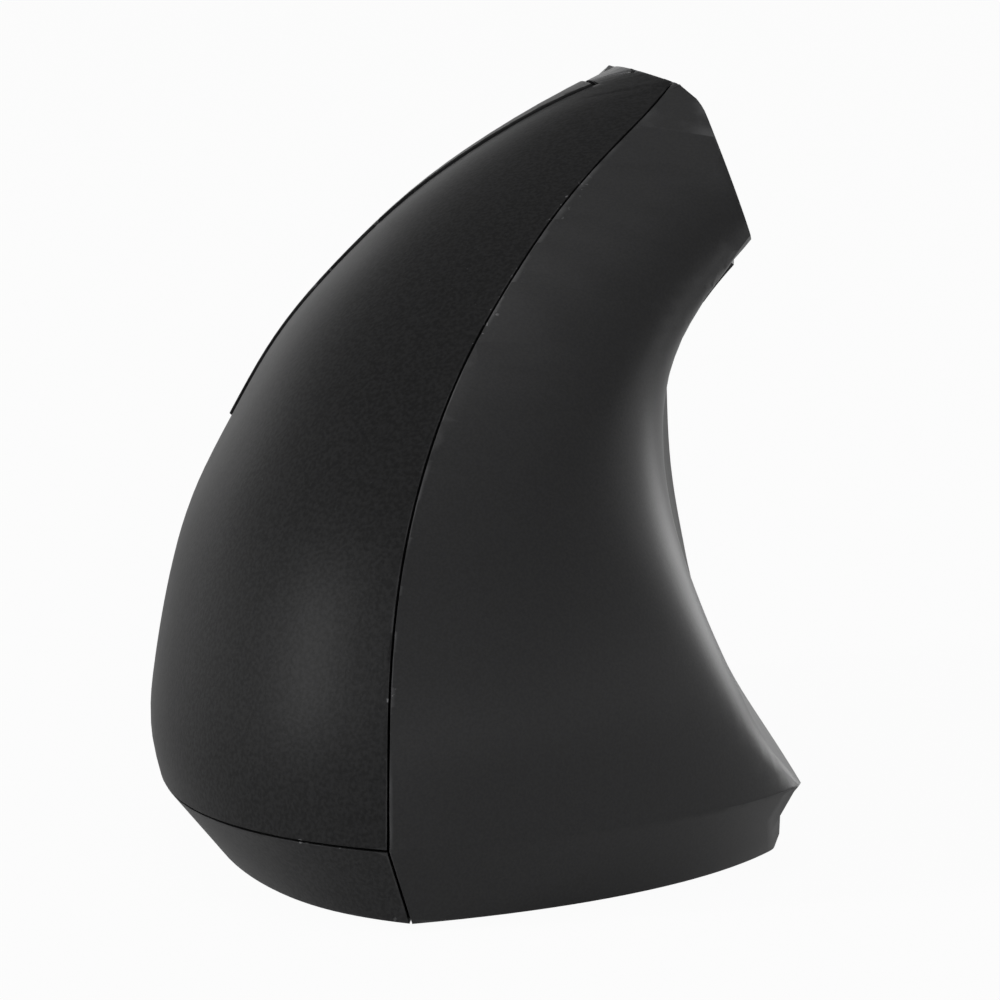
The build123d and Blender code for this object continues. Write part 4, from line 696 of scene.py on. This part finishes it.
def laminate(name, colour):
    """Lacquered board: faint weave under the lacquer and copper runs that show through."""
    material, tree, shader = blank(name)
    skin = placed(tree, shared["moulded"], Scale=WEAVE_SCALE)
    place = tree.nodes.new("ShaderNodeTexCoord")
    bricks = tree.nodes.new("ShaderNodeTexBrick")
    bricks.inputs["Scale"].default_value = RUN_SCALE
    bricks.inputs["Mortar Size"].default_value = RUN_GAP
    tree.links.new(place.outputs["Object"], bricks.inputs["Vector"])
    tone = mixed(tree, skin.outputs["Tone"], lighter(colour, 0.85), lighter(colour, 1.1))
    runs = mixed(tree, bricks.outputs["Fac"], tone, lighter(colour, RUN_LIGHTER))
    tree.links.new(runs, shader.inputs["Base Color"])
    tree.links.new(spread(tree, skin.outputs["Gloss"], 0.25, 0.4), shader.inputs["Roughness"])
    bumped(tree, shader, skin.outputs["Height"], WEAVE_LIFT, WEAVE_DEPTH)
    return material


def make_finishes(colours, sizes):
    """Makes each finish once, under the name of its slot."""
    shared["moulded"], shared["wear"], shared["dust"] = moulded_group(), wear_group(), dust_group()
    grain = sizes.grain
    fine = grain * 1.5
    # Name, colour, span of roughness, grain, depth, contrast, rim scuffs with painted rim highlight, dust
    # and level of shine.
    rows = {
        "shell_plastic": ("Palm side", colours.palm, (0.42, 0.48), grain, 0.00004, 0.3, 0.8, 0.1, 0.11),
        "thumb_plastic": ("Thumb side", colours.thumb, (0.31, 0.36), fine, 0.000008, 0.08, 0.8, 0.03, 0.2),
        "base_plastic": ("Base", colours.base, (0.42, 0.5), grain, 0.00004, 0.3, 0.7, 0.05, 0.2),
        "trim_plastic": ("Trim", colours.trim, (0.34, 0.42), grain, 0.00002, 0.15, 0.5, 0.3, 0.4),
        "side_plastic": ("Caps", colours.caps, (0.28, 0.38), grain, 0.00001, 0.12, 0.4, 0.2, 0.4),
        "inner_plastic": ("Inside", colours.inside, (0.4, 0.55), grain, 0.00003, 0.2, 0.0, 0.1, 0.4),
        "wheel_rubber": ("Tyre", colours.rubber, (0.6, 0.75), grain, 0.00005, 0.2, 0.6, 0.6, 0.3),
        "switch_plastic": ("Switches", SWITCH_COLOUR, (0.3, 0.42), grain, 0.00001, 0.15, 0.0, 0.1, 0.45),
        "cell_sleeve": ("Cell sleeve", SLEEVE_COLOUR, (0.2, 0.3), 500.0, 0.00001, 0.1, 0.0, 0.0, 0.5),
        "foot_plastic": ("Glide feet", FOOT_COLOUR, (0.3, 0.45), 900.0, 0.00002, 0.2, 0.9, 0.3, 0.35),
    }
    for slot, row in rows.items():
        finishes[slot] = moulded(*row)
    finishes["pin_steel"] = metal("Steel", STEEL_COLOUR, (0.22, 0.36), 1500.0)
    finishes["contact_metal"] = metal("Plated contact", PLATING_COLOUR, (0.14, 0.25), 700.0)
    finishes["clear_plastic"] = clear("Clear", CLEAR_COLOUR)
    finishes["board_laminate"] = laminate("Laminate", colours.laminate)


shared = {}
finishes = {}
skins = {}
slot_of = {part["node"]: part["material_slot"] for part in frame["record"]["subparts"]}


# Meshes

WELD = 0.000001
NEAR = 0.00035
FACING = 0.85
SHARP = radians(32)
TIGHT = radians(24)
CELL_AXIS_SHARE = 0.9
CELL_SHARES = {"palm": 0.56, "thumb": 0.66, "crown": 1.0, "skirt": 1.0}
SLIVER = 0.00000002
SETTLE_TURNS = 6
STRAIGHT = -0.94
WELD_REACH = 2.2
CAP_PROUD = 0.3
SIDE_CAP_PROUD = 2.0


def copied(node):
    """The node's mesh with its doubles merged."""
    bm = bmesh.new()
    bm.from_mesh(frame["nodes"][node].data)
    bmesh.ops.remove_doubles(bm, verts=bm.verts, dist=WELD)
    bmesh.ops.dissolve_degenerate(bm, edges=bm.edges, dist=WELD)
    return bm


def finished(bm, name, node):
    """Piece from a mesh that stands for a node, on its body and in its finish."""
    for edge in bm.edges:
        edge.smooth = edge.is_manifold and edge.calc_face_angle(0) < SHARP
    for face in bm.faces:
        face.smooth = True
    mesh = bpy.data.meshes.new(name)
    bm.to_mesh(mesh)
    bm.free()
    mesh.materials.append(finishes[slot_of[node]])
    piece = bpy.data.objects.new(name, mesh)
    bpy.context.scene.collection.objects.link(piece)
    even = piece.modifiers.new("Even normals", "WEIGHTED_NORMAL")
    even.keep_sharp = True
    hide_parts(node)
    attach(piece, frame["nodes"][node]["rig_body"])
    return piece


def rounded(bm, edges, width):
    """Rounds the edges and marks their corners as rim, for the scuffs and the painted rim highlight."""
    rim = bm.verts.layers.float.new("rim")
    made = bmesh.ops.bevel(
        bm, geom=edges, offset=width, offset_type="OFFSET", segments=2, affect="EDGES",
        profile=0.5, material=-1, clamp_overlap=True,
    )
    for face in made["faces"]:
        for vert in face.verts:
            vert[rim] = 1.0


def softened(node, name, width):
    """Copy of a node with its sharp edges rounded."""
    bm = copied(node)
    rounded(bm, [e for e in bm.edges if e.is_manifold and e.calc_face_angle(0) > SHARP], width)
    return finished(bm, name, node)


def read_skins(bm, names):
    """Marks each face with the skin that all its corners lie on."""
    layer = bm.faces.layers.int.new("skin")
    for face in bm.faces:
        centre = face.calc_center_median()
        best, places = NEAR, [v.co for v in face.verts]
        for index, name in enumerate(names, 1):
            place, normal, _, worst = skins[name].find_nearest(centre, best)
            if place is None or (face.calc_area() > SLIVER and abs(normal.dot(face.normal)) < FACING):
                continue
            for place in places:
                gap = skins[name].find_nearest(place, best)[3]
                if gap is None:
                    worst = best
                    break
                worst = max(worst, gap)
            if worst < best:
                best = worst
                face[layer] = index
    return layer


def planes_for(name, sizes, low, high):
    """Cutting planes for the cells of a skin."""
    step = sizes.cell * 1 * CELL_SHARES[name.split("_")[0]]
    turn = sizes.turn * 1
    made = []

    def rows(axis):
        normal = Vector([float(axis == k) for k in range(3)])
        for k in range(1, int((high[axis] - low[axis]) / step) + 1):
            made.append((normal * (low[axis] + k * step), normal))

    if name.startswith("crown"):
        rows(0)
        rows(1)
        return made
    rows(2)
    if name.startswith("thumb"):
        rows(1)
        return made
    axis = Vector((CELL_AXIS_SHARE * HALF_WIDTH * MM, 0.0, 0.0))
    for k in range(int(radians(180) / turn)):
        made.append((axis, Vector((cos(k * turn), sin(k * turn), 0.0))))
    return made


def cut_cells(bm, layer, names, sizes):
    """Cuts each skin into even cells and takes out the loose triangles' own lines."""
    grid = bm.edges.layers.int.new("grid")
    low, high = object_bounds()
    for index, name in enumerate(names, 1):
        for place, normal in planes_for(name, sizes, low, high):
            faces = [f for f in bm.faces if f[layer] == index]
            edges = {e for f in faces for e in f.edges}
            verts = {v for f in faces for v in f.verts}
            cut = bmesh.ops.bisect_plane(
                bm, geom=faces + list(edges) + list(verts), dist=WELD, plane_co=place, plane_no=normal
            )
            for item in cut["geom_cut"]:
                if isinstance(item, bmesh.types.BMEdge):
                    item[grid] = 1
    spare = []
    for edge in bm.edges:
        if edge[grid] or not edge.is_manifold or edge.calc_face_angle(0) > TIGHT:
            continue
        first, second = [f[layer] for f in edge.link_faces]
        if first and first == second:
            spare.append(edge)
    bmesh.ops.dissolve_edges(bm, edges=spare, use_verts=False, use_face_split=False)
    loose = [v for v in bm.verts if len(v.link_edges) == 2 and all(f[layer] for f in v.link_faces)]
    bmesh.ops.dissolve_verts(bm, verts=loose)


def settle(bm, layer, names):
    """Moves each corner of the skins onto the drawn surfaces."""
    for vert in bm.verts:
        touching = sorted({f[layer] for f in vert.link_faces} - {0})
        for _ in range(1 if len(touching) == 1 else SETTLE_TURNS):
            for index in touching:
                place = skins[names[index - 1]].find_nearest(vert.co, 2 * NEAR)[0]
                if place is not None:
                    vert.co = place


def rim_edges(bm, layer):
    """Sharp edges where a skin ends."""
    found = []
    for edge in bm.edges:
        if not edge.is_manifold:
            continue
        first, second = [f[layer] for f in edge.link_faces]
        if first != second and edge.calc_face_angle(0) > SHARP:
            found.append(edge)
    return found


def clear_rim(bm, layer, width):
    """Welds corners that lie too near each other for the round along the rim."""
    rims = set(rim_edges(bm, layer))
    on_rim = {v for e in rims for v in e.verts}
    corners = set()
    for vert in on_rim:
        around = [e for e in vert.link_edges if e in rims]
        if len(around) != 2:
            corners.add(vert)
            continue
        a, b = [(e.other_vert(vert).co - vert.co).normalized() for e in around]
        if a.dot(b) > STRAIGHT:
            corners.add(vert)
    targets = {}
    for edge in bm.edges:
        a, b = edge.verts
        if edge.calc_length() > WELD_REACH * width or a in targets or b in targets:
            continue
        if a in targets.values() or b in targets.values():
            continue
        if a in on_rim and (b not in on_rim or b not in corners):
            targets[b] = a
        elif b in on_rim and a not in corners:
            targets[a] = b
    bmesh.ops.weld_verts(bm, targetmap=targets)


def refined(node, name, names, sizes):
    """Smooth copy of a shell: even cells on its skins, rounded along its seams."""
    bm = copied(node)
    layer = read_skins(bm, names)
    cut_cells(bm, layer, names, sizes)
    settle(bm, layer, names)
    bm.normal_update()
    clear_rim(bm, layer, sizes.rim)
    bm.normal_update()
    rounded(bm, rim_edges(bm, layer), sizes.rim)
    many = [f for f in bm.faces if len(f.verts) > 4]
    bmesh.ops.triangulate(bm, faces=many, quad_method="BEAUTY", ngon_method="BEAUTY")
    return finished(bm, name, node)


# Operators

SHELL_SKINS = {
    "palm_shell": ["palm", "thumb", "crown"],
    "thumb_shell": ["thumb", "crown", "skirt", "palm"],
    "front_cover": ["palm", "thumb", "crown"],
    "top_trim": ["palm", "crown", "thumb"],
    "base_case": ["skirt"],
}
UNDERSIDE_NODES = (
    "battery_door", "glide_feet", "case_screws", "power_slider", "receiver_body", "receiver_plug",
)


def make_skins():
    """Makes the search trees of the drawn surfaces."""
    skins.update(
        {
            "palm": palm_skin(),
            "palm_proud": palm_skin(-CAP_PROUD),
            "thumb": thumb_skin(),
            "thumb_proud": thumb_skin(-SIDE_CAP_PROUD),
            "crown": crown_skin(),
            "skirt": skirt_skin(),
        }
    )


class MOUSE_OT_finishes(bpy.types.Operator):
    """Makes the shared finishes"""

    bl_idname = "mouse.finishes"
    bl_label = "Finishes"

    def execute(self, context):
        make_finishes(context.scene.mouse_colours, context.scene.mouse_sizes)
        for node, piece in frame["nodes"].items():
            for place in piece.material_slots:
                place.material = finishes[slot_of[node]]
        return {"FINISHED"}


class MOUSE_OT_shells(bpy.types.Operator):
    """Dresses the housing shells"""

    bl_idname = "mouse.shells"
    bl_label = "Housing"

    def execute(self, context):
        make_skins()
        for node, names in SHELL_SKINS.items():
            refined(node, node + "_moulding", names, context.scene.mouse_sizes)
        return {"FINISHED"}


class MOUSE_OT_buttons(bpy.types.Operator):
    """Dresses the main buttons and the side buttons"""

    bl_idname = "mouse.buttons"
    bl_label = "Buttons"

    def execute(self, context):
        sizes = context.scene.mouse_sizes
        for node in ("primary_button", "secondary_button"):
            refined(node, node + "_cap", ["palm_proud"], sizes)
        for node in ("side_button_front", "side_button_back"):
            refined(node, node + "_cap", ["thumb_proud"], sizes)
        softened("dpi_button", "dpi_button_cap", sizes.small_rim)
        return {"FINISHED"}


class MOUSE_OT_wheel(bpy.types.Operator):
    """Dresses the scroll wheel"""

    bl_idname = "mouse.wheel"
    bl_label = "Wheel"

    def execute(self, context):
        for node in ("scroll_tyre", "scroll_hub"):
            softened(node, node + "_moulding", context.scene.mouse_sizes.small_rim)
        return {"FINISHED"}


class MOUSE_OT_underside(bpy.types.Operator):
    """Dresses the door, feet, screws, slider and receiver"""

    bl_idname = "mouse.underside"
    bl_label = "Underside"

    def execute(self, context):
        for node in UNDERSIDE_NODES:
            softened(node, node + "_detail", context.scene.mouse_sizes.small_rim)
        return {"FINISHED"}


class MOUSE_OT_stage(bpy.types.Operator):
    """Sets the floor, the light and the camera"""

    bl_idname = "mouse.stage"
    bl_label = "Stage"

    def execute(self, context):
        make_floor(context.scene.mouse_colours.floor)
        make_light()
        make_camera(context.scene.mouse_sizes)
        return {"FINISHED"}


FLOOR_HALF = 3.0
FLOOR_GAP = 0.0001
FLOOR_SHARE = 0.96
FLOOR_GLOSS = 0.35
CAMERA_TARGET = Vector((0.0018, 0.0, 0.0314))
CAMERA_TURN = radians(4)
CAMERA_RISE = radians(9.5)
CAMERA_CLIP = (0.01, 20.0)
SENSOR_WIDTH = 36.0
PLAIN_LIGHT = 0.45
SHINE_LIGHT = 0.55
CEILING_SPAN = (0.1, 0.55)
CEILING_DIM = 0.75
# Name, place, width, height and power.
LAMPS = [
    ("lamp_right", (0.8, 1.2, 0.12), 0.8, 0.6, 2.2),
    ("lamp_left", (-1.2, -0.55, 0.5), 0.2, 0.75, 7.5),
    ("lamp_top", (0.0, -0.2, 1.6), 1.0, 1.0, 3.0),
]


def make_floor(colour):
    """Pale floor that is seen from above only."""
    bm = bmesh.new()
    bmesh.ops.create_grid(bm, x_segments=4, y_segments=4, size=FLOOR_HALF)
    bmesh.ops.translate(bm, verts=bm.verts, vec=(0.0, 0.0, -FLOOR_GAP))
    mesh = bpy.data.meshes.new("studio_floor")
    bm.to_mesh(mesh)
    bm.free()
    floor = bpy.data.objects.new("studio_floor", mesh)
    bpy.context.scene.collection.objects.link(floor)
    material = bpy.data.materials.new("Studio floor")
    material.use_nodes = True
    tree = material.node_tree
    tree.nodes.clear()
    matt = tree.nodes.new("ShaderNodeBsdfDiffuse")
    matt.inputs["Color"].default_value = tuple(colour) + (1.0,)
    white = tree.nodes.new("ShaderNodeEmission")
    paths = tree.nodes.new("ShaderNodeLightPath")
    gloss = maths(tree, "MULTIPLY", paths.outputs["Is Glossy Ray"], FLOOR_GLOSS)
    seen = maths(tree, "ADD", paths.outputs["Is Camera Ray"], gloss, True)
    seen = maths(tree, "ADD", seen, paths.outputs["Is Transmission Ray"], True)
    share = maths(tree, "MULTIPLY", seen, FLOOR_SHARE)
    below = tree.nodes.new("ShaderNodeNewGeometry")
    unseen = tree.nodes.new("ShaderNodeBsdfTransparent")
    both, whole = tree.nodes.new("ShaderNodeMixShader"), tree.nodes.new("ShaderNodeMixShader")
    out = tree.nodes.new("ShaderNodeOutputMaterial")
    for factor, first, second, mix in (
        (share, matt.outputs[0], white.outputs[0], both),
        (below.outputs["Backfacing"], both.outputs[0], unseen.outputs[0], whole),
    ):
        for value, socket in zip((factor, first, second), mix.inputs):
            tree.links.new(value, socket)
    tree.links.new(whole.outputs[0], out.inputs["Surface"])
    mesh.materials.append(material)
    floor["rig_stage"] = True


def make_light():
    """Plain white surroundings, darker overhead for what they light, and three soft lamps."""
    world = bpy.data.worlds.new("Studio")
    bpy.context.scene.world = world
    world.use_nodes = True
    tree = world.node_tree
    tree.nodes.clear()
    paths = tree.nodes.new("ShaderNodeLightPath")
    shown = maths(tree, "ADD", paths.outputs["Is Glossy Ray"], paths.outputs["Is Transmission Ray"], True)
    strength = maths(tree, "ADD", maths(tree, "MULTIPLY", shown, SHINE_LIGHT), PLAIN_LIGHT)
    shine = tree.nodes.new("ShaderNodeBackground")
    sky = tree.nodes.new("ShaderNodeTexCoord")
    split = tree.nodes.new("ShaderNodeSeparateXYZ")
    tree.links.new(sky.outputs["Generated"], split.inputs[0])
    overhead = ramp(tree, split.outputs["Z"], *CEILING_SPAN)
    ceiling = maths(tree, "SUBTRACT", 1.0, maths(tree, "MULTIPLY", overhead, CEILING_DIM))
    dimmed = maths(tree, "MULTIPLY", strength, ceiling)
    strength = maths(tree, "MAXIMUM", dimmed, paths.outputs["Is Camera Ray"])
    tree.links.new(strength, shine.inputs["Strength"])
    shine.inputs["Color"].default_value = (1.0, 1.0, 1.0, 1.0)
    out = tree.nodes.new("ShaderNodeOutputWorld")
    tree.links.new(shine.outputs[0], out.inputs["Surface"])
    for name, place, width, height, power in LAMPS:
        data = bpy.data.lights.new(name, "AREA")
        data.shape = "ELLIPSE"
        data.size = width
        data.size_y = height
        data.energy = power
        lamp = bpy.data.objects.new(name, data)
        lamp.location = place
        aim = CAMERA_TARGET - Vector(place)
        lamp.rotation_euler = aim.to_track_quat("-Z", "Y").to_euler()
        bpy.context.scene.collection.objects.link(lamp)


def make_camera(sizes):
    """Camera behind the mouse, a little to the right and above."""
    data = bpy.data.cameras.new("camera")
    data.lens = sizes.camera_lens
    data.sensor_width = SENSOR_WIDTH
    data.clip_start, data.clip_end = CAMERA_CLIP
    camera = bpy.data.objects.new("camera", data)
    level = cos(CAMERA_RISE)
    away = Vector((sin(CAMERA_TURN) * level, -cos(CAMERA_TURN) * level, sin(CAMERA_RISE)))
    camera.location = CAMERA_TARGET + away * sizes.camera_reach
    camera.rotation_euler = (-away).to_track_quat("-Z", "Y").to_euler()
    bpy.context.scene.collection.objects.link(camera)
    bpy.context.scene.camera = camera


class MOUSE_PT_sidebar(bpy.types.Panel):
    """Lists the steps and their sizes"""

    bl_idname = "MOUSE_PT_sidebar"
    bl_label = "Upright mouse"
    bl_space_type = "VIEW_3D"
    bl_region_type = "UI"
    bl_category = "Mouse"

    def draw(self, context):
        for owner in (context.scene.mouse_sizes, context.scene.mouse_colours):
            for name in owner.bl_rna.properties.keys():
                if name not in ("rna_type", "name"):
                    self.layout.prop(owner, name)
        for step in STEPS:
            self.layout.operator(step.bl_idname)


STEPS = [
    MOUSE_OT_finishes,
    MOUSE_OT_shells,
    MOUSE_OT_buttons,
    MOUSE_OT_wheel,
    MOUSE_OT_underside,
    MOUSE_OT_stage,
]
CLASSES = [MouseSizes, MouseColours] + STEPS + [MOUSE_PT_sidebar]


def register():
    for item in CLASSES:
        bpy.utils.register_class(item)
    bpy.types.Scene.mouse_sizes = bpy.props.PointerProperty(type=MouseSizes)
    bpy.types.Scene.mouse_colours = bpy.props.PointerProperty(type=MouseColours)


def unregister():
    del bpy.types.Scene.mouse_colours
    del bpy.types.Scene.mouse_sizes
    for item in reversed(CLASSES):
        bpy.utils.unregister_class(item)


def main():
    register()
    bpy.context.scene.view_settings.view_transform = "Standard"
    bpy.ops.mouse.finishes()
    bpy.ops.mouse.shells()
    bpy.ops.mouse.buttons()
    bpy.ops.mouse.wheel()
    bpy.ops.mouse.underside()
    bpy.ops.mouse.stage()


if __name__ == "__main__":
    main()
